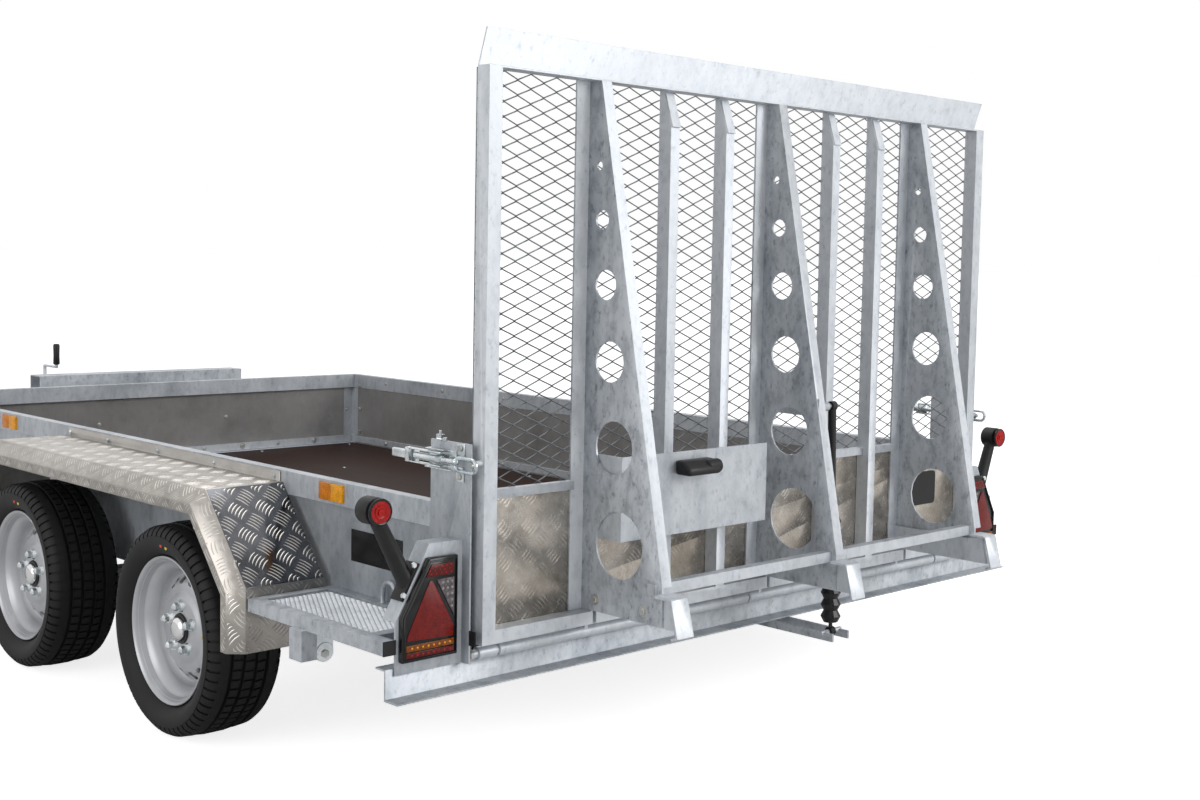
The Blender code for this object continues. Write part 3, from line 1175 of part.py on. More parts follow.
def make_coupling():
    """Overrun housing, draw tube with bellows, coupling head and handbrake lever."""
    half = HOUSING_WIDTH / 2
    end = NOSE - HOUSING_NOSE
    back = end - HOUSING_LENGTH
    top = COUPLING_LOW + HOUSING_HEIGHT
    line = (COUPLING_LOW + top) / 2
    housing = block((-half, half), (back, end), (COUPLING_LOW + BITE, top))
    tube_end = NOSE - HEAD_LENGTH
    draw = rod((0, end - BITE, line), (0, tube_end - SEAT, line), DRAW_TUBE_RADIUS, MIDDLE_SIDES)
    finished(fuse(housing, draw), "overrun_housing", "galvanised")
    inner = DRAW_TUBE_RADIUS + SEAT * 2
    pitch = (tube_end - end - 2 * SEAT) / BELLOWS_FOLDS
    ring = [(inner, end + SEAT)]
    for fold in range(BELLOWS_FOLDS):
        start = end + SEAT + pitch * fold
        ring += [(inner + SPRING_EYE_HALF / 2, start), (BELLOWS_RADIUS, start + pitch / 2)]
    ring += [(inner + SPRING_EYE_HALF / 2, tube_end - SEAT), (inner, tube_end - SEAT)]
    finished(turned(ring, MIDDLE_SIDES, "Y", (0, 0, line), closed=True), "overrun_bellows", "rubber")
    head_low, head_high = line - HEAD_HEIGHT / 2, line + HEAD_HEIGHT / 2
    nose_radius = HEAD_HALF
    plan = [(HEAD_HALF, tube_end)] + circle((0, NOSE - nose_radius), nose_radius, SMALL_SIDES, 0, CIRCLE / 2)
    plan += [(-HEAD_HALF, tube_end)]
    head = flat("Z", plan, (head_low, head_high))
    grip = tube([(0, NOSE - GRIP_BACK, head_high - OVERRUN), (0, NOSE - GRIP_BACK, head_high + HEAD_HALF),
                 (0, tube_end - HEAD_HALF, head_high + HEAD_HALF * 3 / 2)], COUPLING_GRIP)
    socket_place = (0, NOSE - nose_radius, head_low + BALL_RADIUS / 2)
    shape = bmesh.new()
    bmesh.ops.create_uvsphere(shape, u_segments=SMALL_SIDES, v_segments=SMALL_SIDES // 2, radius=BALL_RADIUS,
                              matrix=Matrix.Translation(Vector(socket_place)))
    ball = from_bmesh(shape)
    mouth = rod((0, NOSE - nose_radius, head_low - OVERRUN), socket_place, BALL_RADIUS - BITE, SMALL_SIDES)
    finished(cut(fuse(head, grip), ball, mouth), "coupling_head", "galvanised")
    lever_x = half + SEAT
    start = (back + HOUSING_LENGTH / 3, line)
    bar = band([start, (start[0] + BRAKE_LEVER_RUN, start[1] + BRAKE_LEVER_RISE)], BRAKE_LEVER_WIDTH)
    finished(flat("X", bar, (lever_x, lever_x + BRAKE_LEVER_THICK)), "brake_lever", "galvanised")


def make_jockey_wheel():
    """The jockey wheel: clamped tube with crank, sliding leg, swivelling fork and wheel."""
    x, y = -JOCKEY_OFFSET, JOCKEY_Y
    inner = JOCKEY_TUBE_RADIUS - JOCKEY_TUBE_WALL
    profile = [(0, JOCKEY_TUBE_HIGH), (JOCKEY_TUBE_RADIUS, JOCKEY_TUBE_HIGH), (JOCKEY_TUBE_RADIUS, JOCKEY_TUBE_LOW),
               (inner, JOCKEY_TUBE_LOW), (inner, JOCKEY_TUBE_HIGH - JOCKEY_TUBE_WALL),
               (0, JOCKEY_TUBE_HIGH - JOCKEY_TUBE_WALL)]
    outer = turned(profile, MIDDLE_SIDES, "Z", (x, y, 0))
    ends = [(-drawbar_half(place) - drawbar_cover() - SEAT, place)
            for place in (y + JOCKEY_TUBE_RADIUS, y - JOCKEY_TUBE_RADIUS)]
    clamp = flat("Z", [(x + inner + BITE, ends[1][1]), (x + inner + BITE, ends[0][1]), *ends],
                 (JOCKEY_CLAMP_LOW, JOCKEY_CLAMP_HIGH))
    crank = tube([(x, y, JOCKEY_TUBE_HIGH - BITE), (x, y, CRANK_HEIGHT), (x, y - CRANK_REACH, CRANK_HEIGHT),
                  (x, y - CRANK_REACH, CRANK_HEIGHT + CRANK_GRIP)], CRANK_RADIUS)
    finished(fuse(outer, clamp, crank), "jockey_tube", "galvanised")
    top = pivot_at("jockey_slide", (x, y, JOCKEY_TUBE_LOW))
    fork_top = 2 * JOCKEY_WHEEL_RADIUS + JOCKEY_FORK_GAP + JOCKEY_FORK_SHEET
    leg_top = JOCKEY_TUBE_LOW + JOCKEY_TRAVEL + JOCKEY_INSERT
    leg = rod((x, y, fork_top + SEAT), (x, y, leg_top), JOCKEY_LEG_RADIUS, MIDDLE_SIDES)
    finished(leg, "jockey_leg", "galvanised", top)
    swivel = pivot_at("jockey_swivel", (x, y, fork_top), top)
    half = JOCKEY_WHEEL_WIDTH / 2 + JOCKEY_FORK_GAP
    centre = (y - JOCKEY_TRAIL, JOCKEY_WHEEL_RADIUS)
    bridge = block((x - half - JOCKEY_FORK_SHEET, x + half + JOCKEY_FORK_SHEET),
                   (y - JOCKEY_TRAIL, y + JOCKEY_LEG_RADIUS), (fork_top - JOCKEY_FORK_SHEET, fork_top))
    cheek = [(y + JOCKEY_LEG_RADIUS, fork_top - BITE), (y - JOCKEY_TRAIL, fork_top - BITE),
             (centre[0] - JOCKEY_AXLE_RADIUS * 2, centre[1]), (centre[0], centre[1] - JOCKEY_AXLE_RADIUS * 2),
             (centre[0] + JOCKEY_AXLE_RADIUS * 2, centre[1])]
    cheeks = [flat("X", cheek, (x + low, x + low + JOCKEY_FORK_SHEET)) for low in (-half - JOCKEY_FORK_SHEET, half)]
    axle = rod((x - half - BITE, *centre), (x + half + BITE, *centre), JOCKEY_AXLE_RADIUS, MIDDLE_SIDES)
    finished(fuse(bridge, *cheeks, axle), "jockey_fork", "galvanised", swivel)
    spin = pivot_at("jockey_axle", (x, *centre), swivel)
    width = JOCKEY_WHEEL_WIDTH / 2
    bore = JOCKEY_AXLE_RADIUS + RUNNING
    ring = [(bore, width), (JOCKEY_WHEEL_RADIUS - width / 2, width), (JOCKEY_WHEEL_RADIUS, width / 2)]
    ring += [(radius, -place) for radius, place in reversed(ring)]
    finished(turned(ring, TYRE_SIDES, "X", (x, *centre), closed=True), "jockey_wheel", "rubber", spin)


def main():
    """Build the trailer."""
    make_chassis()
    make_floor()
    make_walls()
    make_sill()
    make_hinge_tube()
    hinge = pivot_at("ramp_hinge", (0, HINGE_Y, HINGE_HEIGHT))
    make_ramp_frame(hinge)
    make_ribs(hinge)
    make_plates(hinge)
    make_mesh(hinge)
    for i in range(len(RIB_PLACES)):
        make_foot(i, hinge)
    make_board(hinge)
    make_spring_lever()
    make_spring(hinge)
    for name, y in (("rear", REAR_AXLE_Y), ("front", FRONT_AXLE_Y)):
        make_axle(name + "_axle", y)
        make_wheel(name + "_left", -1, y)
        make_wheel(name + "_right", 1, y)
    make_guards()
    make_steps()
    make_corners()
    make_tail_lamps()
    make_marker_lamps()
    make_latches()
    make_bucket_rest()
    make_coupling()
    make_jockey_wheel()


main()
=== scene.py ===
"""The looks of a twin-axle machine trailer with a mesh tail ramp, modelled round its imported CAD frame."""

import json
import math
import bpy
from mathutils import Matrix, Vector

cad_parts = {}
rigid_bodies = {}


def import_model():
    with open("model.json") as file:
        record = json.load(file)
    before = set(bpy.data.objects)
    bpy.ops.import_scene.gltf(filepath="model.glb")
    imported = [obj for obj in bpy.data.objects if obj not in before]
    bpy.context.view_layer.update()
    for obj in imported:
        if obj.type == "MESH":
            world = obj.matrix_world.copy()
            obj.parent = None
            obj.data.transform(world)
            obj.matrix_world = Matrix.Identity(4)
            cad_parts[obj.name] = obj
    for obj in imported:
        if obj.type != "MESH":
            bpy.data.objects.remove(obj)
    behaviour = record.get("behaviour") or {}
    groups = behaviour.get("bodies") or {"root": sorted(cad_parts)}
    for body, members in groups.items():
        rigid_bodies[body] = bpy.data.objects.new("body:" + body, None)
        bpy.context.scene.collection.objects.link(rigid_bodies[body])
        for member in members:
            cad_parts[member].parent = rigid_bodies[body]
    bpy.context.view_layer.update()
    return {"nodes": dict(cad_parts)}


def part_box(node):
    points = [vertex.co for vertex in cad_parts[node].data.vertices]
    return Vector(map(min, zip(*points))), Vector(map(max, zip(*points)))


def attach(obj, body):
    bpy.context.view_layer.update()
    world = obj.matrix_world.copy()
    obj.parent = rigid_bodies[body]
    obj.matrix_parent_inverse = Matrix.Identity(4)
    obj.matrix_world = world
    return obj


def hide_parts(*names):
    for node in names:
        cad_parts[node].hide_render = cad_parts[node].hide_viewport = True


bl_info = {
    "name": "Machine Trailer",
    "version": (1, 0, 0),
    "blender": (4, 5, 0),
    "location": "View3D > Sidebar > Trailer",
    "description": "Models the pieces and finishes of a twin-axle machine trailer on its frame",
    "category": "Add Mesh",
}

import bmesh
import bpy
from mathutils import Matrix, Vector

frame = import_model()
NODES = frame["nodes"]

FULL_TURN = 2 * math.pi
# Points closer than this become one
MERGE = 0.00002
SMOOTH_ANGLE = 35
SIDES = ("left", "right")
WHEELS = [(f"{axle}_{side}", sign) for axle in ("rear", "front") for side, sign in (("left", -1), ("right", 1))]
# The world's strength as dull surfaces see it
SOFT_LIGHT = 0.36
# Places along a tread bar at which it is tried against the plate's outline
BAR_STEPS = [i / 6 - 1 for i in range(13)]
# The back of the ramp's posts, from which places along the trailer are measured
RAMP_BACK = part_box("ramp_frame")[0].y + 0.005
# The radius of a marker lamp's head, and where the screws of its foot are
MARKER_HEAD = 0.029
MARKER_SCREWS = ((-1.041, 0.050, 0.552), (-1.066, 0.050, 0.492))
# Spans of the hinge's sleeves from left to right, and the left end of its pin
HINGE_SLEEVES = ((-0.885, -0.836), (-0.829, -0.036), (-0.030, 0.762), (0.768, 0.885))
HINGE_END = -0.898


# Selecting and shaping

def object_mode():
    """Leave edit mode if it is on."""
    if bpy.context.object is not None and bpy.context.object.mode != "OBJECT":
        bpy.ops.object.mode_set(mode="OBJECT")


def deselect():
    """Select nothing, before a primitive is added."""
    object_mode()
    bpy.ops.object.select_all(action="DESELECT")


def take(*pieces):
    """Select only these pieces, the first one active."""
    deselect()
    for piece in pieces:
        piece.select_set(True)
    bpy.context.view_layer.objects.active = pieces[0]


def remove(piece):
    """Take a helper piece out of the scene."""
    bpy.data.objects.remove(piece, do_unlink=True)


def settle(piece):
    """Put a piece's place, turn and size into its mesh."""
    take(piece)
    bpy.ops.object.transform_apply(location=True, rotation=True, scale=True)
    return piece


def moved(piece, shift):
    """Move a piece's mesh."""
    piece.data.transform(Matrix.Translation(Vector(shift)))
    return piece


def edit(piece, action="SELECT", kind="FACE"):
    """Enter edit mode on one piece, with everything or nothing selected."""
    take(piece)
    bpy.ops.object.mode_set(mode="EDIT")
    bpy.ops.mesh.select_mode(type=kind)
    bpy.ops.mesh.select_all(action=action)


def pick(piece, test):
    """Select the faces of the edited piece that pass a test."""
    shape = bmesh.from_edit_mesh(piece.data)
    shape.normal_update()
    for face in shape.faces:
        face.select_set(bool(test(face)))
    shape.select_flush_mode()
    bmesh.update_edit_mesh(piece.data)


def modify(piece, kind, **settings):
    """Add one modifier and apply it."""
    take(piece)
    step = piece.modifiers.new(kind.title(), kind)
    for name, value in settings.items():
        setattr(step, name, value)
    bpy.ops.object.modifier_apply(modifier=step.name)
    return piece


def soften(piece, width, segments=2, angle=30):
    """Round a piece's sharp edges."""
    return modify(piece, "BEVEL", width=width, segments=segments, limit_method="ANGLE",
                  angle_limit=math.radians(angle), harden_normals=False)


def smooth(piece, angle=SMOOTH_ANGLE):
    """Shade a piece smooth up to an angle."""
    take(piece)
    bpy.ops.object.shade_smooth_by_angle(angle=math.radians(angle))
    return piece


def outward(piece):
    """Merge a piece's doubles and turn its faces outwards."""
    edit(piece)
    bpy.ops.mesh.remove_doubles(threshold=MERGE)
    bpy.ops.mesh.normals_make_consistent(inside=False)
    object_mode()
    return piece


def joined(pieces):
    """Join pieces into the first one."""
    take(*pieces)
    if len(pieces) > 1:
        bpy.ops.object.join()
    return pieces[0]


def copy_of(piece, shift=(0, 0, 0)):
    """A copy of a piece with its own mesh, moved."""
    copy = piece.copy()
    copy.data = piece.data.copy()
    bpy.context.scene.collection.objects.link(copy)
    return moved(copy, shift)


def mirrored(piece):
    """A copy of a piece on the other side of the trailer."""
    copy = copy_of(piece)
    copy.data.transform(Matrix.Diagonal((-1, 1, 1, 1)))
    return outward(copy)


# Starting shapes

def new_piece(name, points, edges, faces):
    """A piece from its points, edges and faces."""
    mesh = bpy.data.meshes.new(name)
    mesh.from_pydata(points, edges, faces)
    piece = bpy.data.objects.new(name, mesh)
    bpy.context.scene.collection.objects.link(piece)
    return piece


def block(low, high, bevel=0.0, segments=2):
    """A box between two corners, with rounded edges."""
    deselect()
    low, high = Vector(low), Vector(high)
    bpy.ops.mesh.primitive_cube_add(size=1, location=(low + high) / 2)
    piece = bpy.context.object
    piece.scale = high - low
    settle(piece)
    if bevel:
        edit(piece)
        bpy.ops.mesh.bevel(offset=bevel, segments=segments, affect="EDGES")
        object_mode()
    return piece


def turn_to(direction):
    """The turn that takes +Z to a direction."""
    return Vector(direction).normalized().to_track_quat("Z", "Y").to_matrix().to_4x4()


def bar(start, end, radius, sides=16, bevel=0.0, end_radius=None):
    """A round bar or cone between two points, with its ends bevelled."""
    deselect()
    start, end = Vector(start), Vector(end)
    bpy.ops.mesh.primitive_cone_add(vertices=sides, radius1=radius, depth=(end - start).length,
                                    radius2=radius if end_radius is None else end_radius)
    piece = bpy.context.object
    if bevel:
        soften(piece, bevel, 1, 80)
    piece.matrix_world = Matrix.Translation((start + end) / 2) @ turn_to(end - start)
    return settle(piece)


def bolt_head(place, direction, radius, height, sides=6):
    """A bolt's head with a chamfer, standing on a face."""
    place, direction = Vector(place), Vector(direction).normalized()
    return bar(place - direction * height / 4, place + direction * height, radius, sides, bevel=height / 4)


def wall_bolt(place, direction, radius):
    """A round-headed bolt on its washer, standing on a wall."""
    place, direction = Vector(place), Vector(direction)
    return [bolt_head(place + direction * 0.0016, direction, radius, 0.005, 12),
            bar(place, place + direction * 0.0030, radius * 1.5, 16, bevel=0.0004)]


def spun(profile, steps, centre=(0, 0, 0), axis="X"):
    """A profile of (radius, place along the axis), spun a full turn round it."""
    deselect()
    piece = new_piece("profile", [(radius, 0, along) for radius, along in profile],
                      [(i, i + 1) for i in range(len(profile) - 1)], [])
    edit(piece, kind="EDGE")
    bpy.ops.mesh.spin(steps=steps, angle=FULL_TURN, center=(0, 0, 0), axis=(0, 0, 1))
    object_mode()
    turns = {"X": Matrix.Rotation(math.pi / 2, 4, "Y"), "Y": Matrix.Rotation(-math.pi / 2, 4, "X"),
             "Z": Matrix.Identity(4)}
    piece.matrix_world = Matrix.Translation(Vector(centre)) @ turns[axis]
    return outward(settle(piece))


def outline_piece(outline, low, high, bevel=0.0):
    """An outline of (x, z) places, extruded between two places along the trailer."""
    deselect()
    piece = new_piece("outline", [(x, low, z) for x, z in outline], [], [list(range(len(outline)))])
    edit(piece)
    bpy.ops.mesh.extrude_region_move(TRANSFORM_OT_translate={"value": (0, high - low, 0)})
    bpy.ops.mesh.select_all(action="SELECT")
    bpy.ops.mesh.normals_make_consistent(inside=False)
    object_mode()
    return soften(piece, bevel) if bevel else piece


def loop_wire(points, radius):
    """A round wire through a closed row of points."""
    deselect()
    curve = bpy.data.curves.new("wire", "CURVE")
    curve.dimensions = "3D"
    curve.bevel_depth = radius
    curve.bevel_resolution = 3
    line = curve.splines.new("POLY")
    line.points.add(len(points) - 1)
    for point, place in zip(line.points, points):
        point.co = (*place, 1)
    line.use_cyclic_u = True
    piece = bpy.data.objects.new("wire", curve)
    bpy.context.scene.collection.objects.link(piece)
    take(piece)
    bpy.ops.object.convert(target="MESH")
    return outward(bpy.context.object)


def arc(centre, radius, start, sweep, steps):
    """Points on an arc, with both its ends."""
    return [(centre[0] + radius * math.cos(start + sweep * i / steps),
             centre[1] + radius * math.sin(start + sweep * i / steps)) for i in range(steps + 1)]


def dressed(node_name, bevel, segments=2):
    """A copy of a CAD node with merged faces and rounded edges."""
    piece = copy_of(NODES[node_name])
    piece.parent = None
    piece.matrix_world = Matrix.Identity(4)
    edit(piece)
    bpy.ops.mesh.remove_doubles(threshold=MERGE)
    bpy.ops.mesh.dissolve_limited(angle_limit=math.radians(1))
    object_mode()
    return smooth(soften(piece, bevel, segments))


def net(name, flat, cell_u, cell_v, strand):
    """Expanded mesh filling a thin node's box: diamonds between strands, flat across one axis."""
    low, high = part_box(name)
    along, up = {"Y": (0, 2), "Z": (1, 0)}[flat]
    columns = round((high[along] - low[along]) / cell_u)
    rows = round((high[up] - low[up]) / cell_v)
    count = columns + rows
    deselect()
    bpy.ops.mesh.primitive_grid_add(x_subdivisions=count, y_subdivisions=count, size=count)
    piece = bpy.context.object
    size = Matrix.Diagonal(((high[along] - low[along]) / columns / math.sqrt(2),
                            (high[up] - low[up]) / rows / math.sqrt(2), 1, 1))
    lay = {"Y": Matrix.Rotation(math.pi / 2, 4, "X"), "Z": Matrix.Rotation(math.pi / 2, 4, "Z")}[flat]
    piece.data.transform(Matrix.Translation((low + high) / 2) @ lay @ size @ Matrix.Rotation(math.pi / 4, 4, "Z"))
    edit(piece)
    wide_axes = sorted((along, up))
    for corner, sign in ((low, -1), (high, 1)):
        for axis in wide_axes:
            normal = [0, 0, 0]
            normal[axis] = sign
            bpy.ops.mesh.select_all(action="SELECT")
            bpy.ops.mesh.bisect(plane_co=corner, plane_no=normal, clear_outer=True, threshold=MERGE)
    object_mode()
    modify(piece, "WIREFRAME", thickness=strand, use_even_offset=False, use_boundary=True,
           use_replace=True, offset=0)
    for vertex in piece.data.vertices:
        for axis in range(3):
            spare = 0 if axis in wide_axes else MERGE
            vertex.co[axis] = min(max(vertex.co[axis], low[axis] + spare), high[axis] - spare)
    return piece


def tread_bar(length, width, height):
    """Points and faces of one raised bar: a low lens that bends a little, on the plane at the origin."""
    deselect()
    bpy.ops.mesh.primitive_grid_add(x_subdivisions=6, y_subdivisions=2, size=1)
    piece = bpy.context.object
    points = []
    for vertex in piece.data.vertices:
        share = abs(vertex.co.x) * 2
        narrow = 1 - 0.75 * share ** 3
        ridge = 1 - abs(vertex.co.y) * 2
        points.append(Vector((vertex.co.x * length, vertex.co.y * width * narrow + 0.08 * length * share * share,
                              height * ridge * (1 - share ** 4) - 0.0003)))
    faces = [list(face.vertices) for face in piece.data.polygons]
    remove(piece)
    return points, faces


def inside(point, outline):
    """Whether a flat point lies in an outline."""
    u, v = point
    odd = False
    for (a, b), (c, d) in zip(outline, outline[1:] + outline[:1]):
        if (b > v) != (d > v) and u < (c - a) * (v - b) / (d - b) + a:
            odd = not odd
    return odd


def bar_places(outline, pitch, gap, reach):
    """Places of tread bars in an outline: groups of five that lie one way and the other by turns."""
    spans = [(math.floor(min(values) / pitch), math.ceil(max(values) / pitch) + 1) for values in zip(*outline)]
    for i in range(*spans[0]):
        for j in range(*spans[1]):
            for k in range(-2, 3):
                turned = (i + j) % 2
                u = i * pitch + (0 if turned else k * gap)
                v = j * pitch + (k * gap if turned else 0)
                step = (reach, 0) if turned else (0, reach)
                kept = [t for t in BAR_STEPS if inside((u + t * step[0], v + t * step[1]), outline)]
                if len(kept) > 2:
                    centre, share = (kept[0] + kept[-1]) / 2, (kept[-1] - kept[0]) / 2
                    yield turned, u + centre * step[0], v + centre * step[1], share


def stamped_bars(plate, shown, pitch, height=0.0009):
    """Raised bars in turned groups of five on the plate's faces that pass a test."""
    gap, reach = pitch * 0.175, pitch * 0.42
    corners, loops = tread_bar(reach * 2, gap * 0.55, height)
    points, faces = [], []
    for face in plate.data.polygons:
        if face.area < pitch * pitch / 2 or not shown(face.center, face.normal):
            continue
        normal = face.normal.copy()
        aim = Vector((0, 1, 0)) if abs(normal.y) < 0.9 else Vector((1, 0, 0))
        first = (aim - normal * aim.dot(normal)).normalized()
        second = normal.cross(first)
        first, second = (first + second).normalized(), (second - first).normalized()
        spots = [plate.data.vertices[i].co for i in face.vertices]
        outline = [(spot.dot(first), spot.dot(second)) for spot in spots]
        for turned, u, v, share in bar_places(outline, pitch, gap, reach):
            run, side = (first, second) if turned else (second, -first)
            start = len(points)
            middle = first * u + second * v + normal * normal.dot(face.center)
            points += [middle + run * c.x * share + side * c.y + normal * c.z for c in corners]
            faces += [[start + index for index in loop] for loop in loops]
    return new_piece("bars", points, [], faces)


def at(x, y, z):
    """A place measured from the back of the ramp's posts."""
    return Vector((x, RAMP_BACK + y, z))


def slab(x, y, z, bevel=0.0, segments=2):
    """A block from spans of x, of y from the ramp's back, and of z."""
    return block(at(min(x), min(y), min(z)), at(max(x), max(y), max(z)), bevel, segments)


def hit(piece, start, direction):
    """Where a line first meets a piece."""
    found, place, *_ = piece.ray_cast(Vector(start), Vector(direction))
    if not found:
        raise RuntimeError(f"{piece.name} has no face to carry a fitting at {tuple(start)}")
    return place


def bolts_on(piece, starts, radius, height, sides=6):
    """Bolt heads with washers, where lines from the left meet a piece."""
    heads = []
    across = Vector((1, 0, 0))
    for start in starts:
        place = hit(piece, start, across)
        heads.append(bolt_head(place, -across, radius, height, sides))
        heads.append(bar(place + across * 0.0006, place - across * 0.0012, radius * 1.55, 16, bevel=0.0004))
    return smooth(joined(heads))


def put(piece, name, finish, body, cad_slot, *nodes):
    """Name a finished piece, paint it, and let it ride on its body."""
    piece.name = name
    piece.data.name = name
    piece.data.materials.clear()
    piece.data.materials.append(FINISHES[finish])
    settle(piece)
    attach(piece, body)
    if nodes:
        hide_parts(*nodes)
    return piece


def pair(piece, name, finish, body, cad_slot, *nodes):
    """Put a left piece and its mirrored twin, with left and right in names and nodes."""
    for side, half in zip(SIDES, (piece, mirrored(piece))):
        put(half, name.replace("SIDE", side), finish, body, cad_slot,
            *[node_name.replace("SIDE", side) for node_name in nodes])


def second_finish(piece, finish, test):
    """Give the faces that pass a test another finish."""
    piece.data.materials.append(FINISHES[finish])
    for face in piece.data.polygons:
        if test(face.center, face.normal):
            face.material_index = len(piece.data.materials) - 1


def paint_node(name, finish):
    """Give a CAD node that stays its finish."""
    piece = NODES[name]
    piece.data.materials.clear()
    piece.data.materials.append(FINISHES[finish])
    piece.data.shade_smooth()
    piece.data.set_sharp_from_angle(angle=math.radians(SMOOTH_ANGLE))


# Finishes

def new_finish(name, colour, roughness, metallic=0.0, shine=0.5):
    """A material with its shader's plain values set, and a piece's own coordinates."""
    finish = bpy.data.materials.new(name)
    finish.use_nodes = True
    tree = finish.node_tree
    shader = tree.nodes["Principled BSDF"]
    values = {"Base Color": (*colour, 1), "Roughness": roughness, "Metallic": metallic, "Specular IOR Level": shine}
    for socket, value in values.items():
        shader.inputs[socket].default_value = value
    return finish, tree, shader, node(tree, "TexCoord", {}, {}).outputs["Object"]


def node(tree, kind, settings, inputs):
    """A shader node with its settings, and its inputs as numbers or as other nodes' sockets."""
    new = tree.nodes.new("ShaderNode" + kind)
    for name, value in settings.items():
        setattr(new, name, value)
    for name, value in inputs.items():
        if isinstance(value, bpy.types.NodeSocket):
            tree.links.new(value, new.inputs[name])
        else:
            new.inputs[name].default_value = value
    return new


def maths(tree, operation, first, second=0.0, third=0.0):
    """The result of one step of arithmetic."""
    return node(tree, "Math", {"operation": operation}, {0: first, 1: second, 2: third}).outputs[0]


def noise(tree, place, scale, detail=4.0, roughness=0.55, drawn=None):
    """A noise value from 0 to 1, on coordinates that can be drawn out by a scale on each axis."""
    if drawn:
        place = node(tree, "Mapping", {}, {"Vector": place, "Scale": drawn}).outputs[0]
    inputs = {"Vector": place, "Scale": scale, "Detail": detail, "Roughness": roughness}
    return node(tree, "TexNoise", {}, inputs).outputs[0]


def cells(tree, place, feature, scale):
    """The distance value of a pattern of cells."""
    return node(tree, "TexVoronoi", {"feature": feature}, {"Vector": place, "Scale": scale}).outputs["Distance"]


def ramp(tree, value, *stops):
    """Colours by value: stops are (place, colour) pairs."""
    new = node(tree, "ValToRGB", {}, {"Fac": value})
    marks = new.color_ramp.elements
    while len(marks) < len(stops):
        marks.new(0.5)
    for mark, (place, colour) in zip(marks, stops):
        mark.position = place
        mark.color = (*colour, 1)
    return new.outputs[0]


def spread(tree, value, low, high):
    """A value from 0 to 1 mapped to another span."""
    return node(tree, "MapRange", {}, {"Value": value, "To Min": low, "To Max": high}).outputs[0]


def shaded(tree, share, first, second):
    """One colour darkened by another."""
    inputs = {"Fac": share, "Color1": first, "Color2": second}
    return node(tree, "MixRGB", {"blend_type": "MULTIPLY"}, inputs).outputs[0]


def bumped(tree, shader, height, strength, distance):
    """A bump on the shader from a height."""
    inputs = {"Height": height, "Strength": strength, "Distance": distance}
    feed(tree, node(tree, "Bump", {}, inputs).outputs[0], shader, "Normal")


def feed(tree, value, shader, socket):
    """Link a value to one of the shader's sockets."""
    tree.links.new(value, shader.inputs[socket])


def scaled(colour, share):
    """A colour made darker or brighter."""
    return tuple(value * share for value in colour)


def galvanised_finish(name, light, dark, roughness=0.44, drawn=(1, 1, 0.45), contrast=1.0, metallic=0.35):
    """Hot-dip zinc: broad clouds, mottled flakes, dark flecks and fine grain."""
    finish, tree, shader, place = new_finish(name, light, roughness, metallic)
    cloud = noise(tree, place, 5.5, 6.0, 0.66, drawn)
    flake = noise(tree, place, 34.0, 5.0, 0.68, (1, 1, 0.6))
    flecks = noise(tree, place, 85.0, 4.0, 0.65, (1, 1, 0.55))
    grain = noise(tree, place, 430.0, 2.0, 0.5)
    middle = tuple(a * 0.6 + b * 0.4 for a, b in zip(light, dark))
    base = ramp(tree, cloud, (0.34, dark), (0.48, middle), (0.64, light))
    low = 1 - 0.32 * contrast
    mottle = ramp(tree, flake, (0.34, (low, low * 1.02, low * 1.05)), (0.52, (0.93, 0.94, 0.96)), (0.68, (1, 1, 1)))
    low = 1 - 0.38 * contrast
    spots = ramp(tree, flecks, (0.30, (low, low * 1.02, low * 1.05)), (0.44, (1, 1, 1)))
    feed(tree, shaded(tree, 1.0, shaded(tree, 1.0, base, mottle), spots), shader, "Base Color")
    feed(tree, spread(tree, flake, roughness - 0.12, roughness + 0.18), shader, "Roughness")
    bumped(tree, shader, maths(tree, "ADD", flake, maths(tree, "MULTIPLY", grain, 0.25)), 0.22, 0.0012)
    return finish


def tread_finish(name, colour, darker, roughness):
    """Bright-rolled aluminium plate: warm haze, smears and fine scratches."""
    finish, tree, shader, place = new_finish(name, colour, roughness, 0.95)
    haze = noise(tree, place, 6.0, 6.0, 0.62)
    smear = noise(tree, place, 60.0, 4.0, 0.6, (1, 0.25, 1))
    base = ramp(tree, haze, (0.34, darker), (0.62, colour))
    lines = ramp(tree, smear, (0.3, (0.78, 0.77, 0.75)), (0.6, (1, 1, 1)))
    feed(tree, shaded(tree, 0.8, base, lines), shader, "Base Color")
    feed(tree, spread(tree, smear, roughness - 0.05, roughness + 0.16), shader, "Roughness")
    bumped(tree, shader, smear, 0.12, 0.0006)
    return finish


def rubber_finish(name, colour, roughness, grain=240.0):
    """Black rubber with a dull, faintly dusty skin."""
    finish, tree, shader, place = new_finish(name, colour, roughness, 0.0, 0.28)
    dust = noise(tree, place, 14.0, 5.0, 0.6)
    feed(tree, ramp(tree, dust, (0.35, colour), (0.75, scaled(colour, 1.9))), shader, "Base Color")
    feed(tree, spread(tree, dust, roughness - 0.12, roughness + 0.1), shader, "Roughness")
    bumped(tree, shader, noise(tree, place, grain, 3.0), 0.25, 0.0004)
    return finish


def plastic_finish(name, colour, roughness):
    """Moulded plastic with a fine grain."""
    finish, tree, shader, place = new_finish(name, colour, roughness, 0.0, 0.32)
    feed(tree, spread(tree, noise(tree, place, 40.0), roughness - 0.06, roughness + 0.08), shader, "Roughness")
    bumped(tree, shader, noise(tree, place, 600.0, 2.0), 0.12, 0.0002)
    return finish


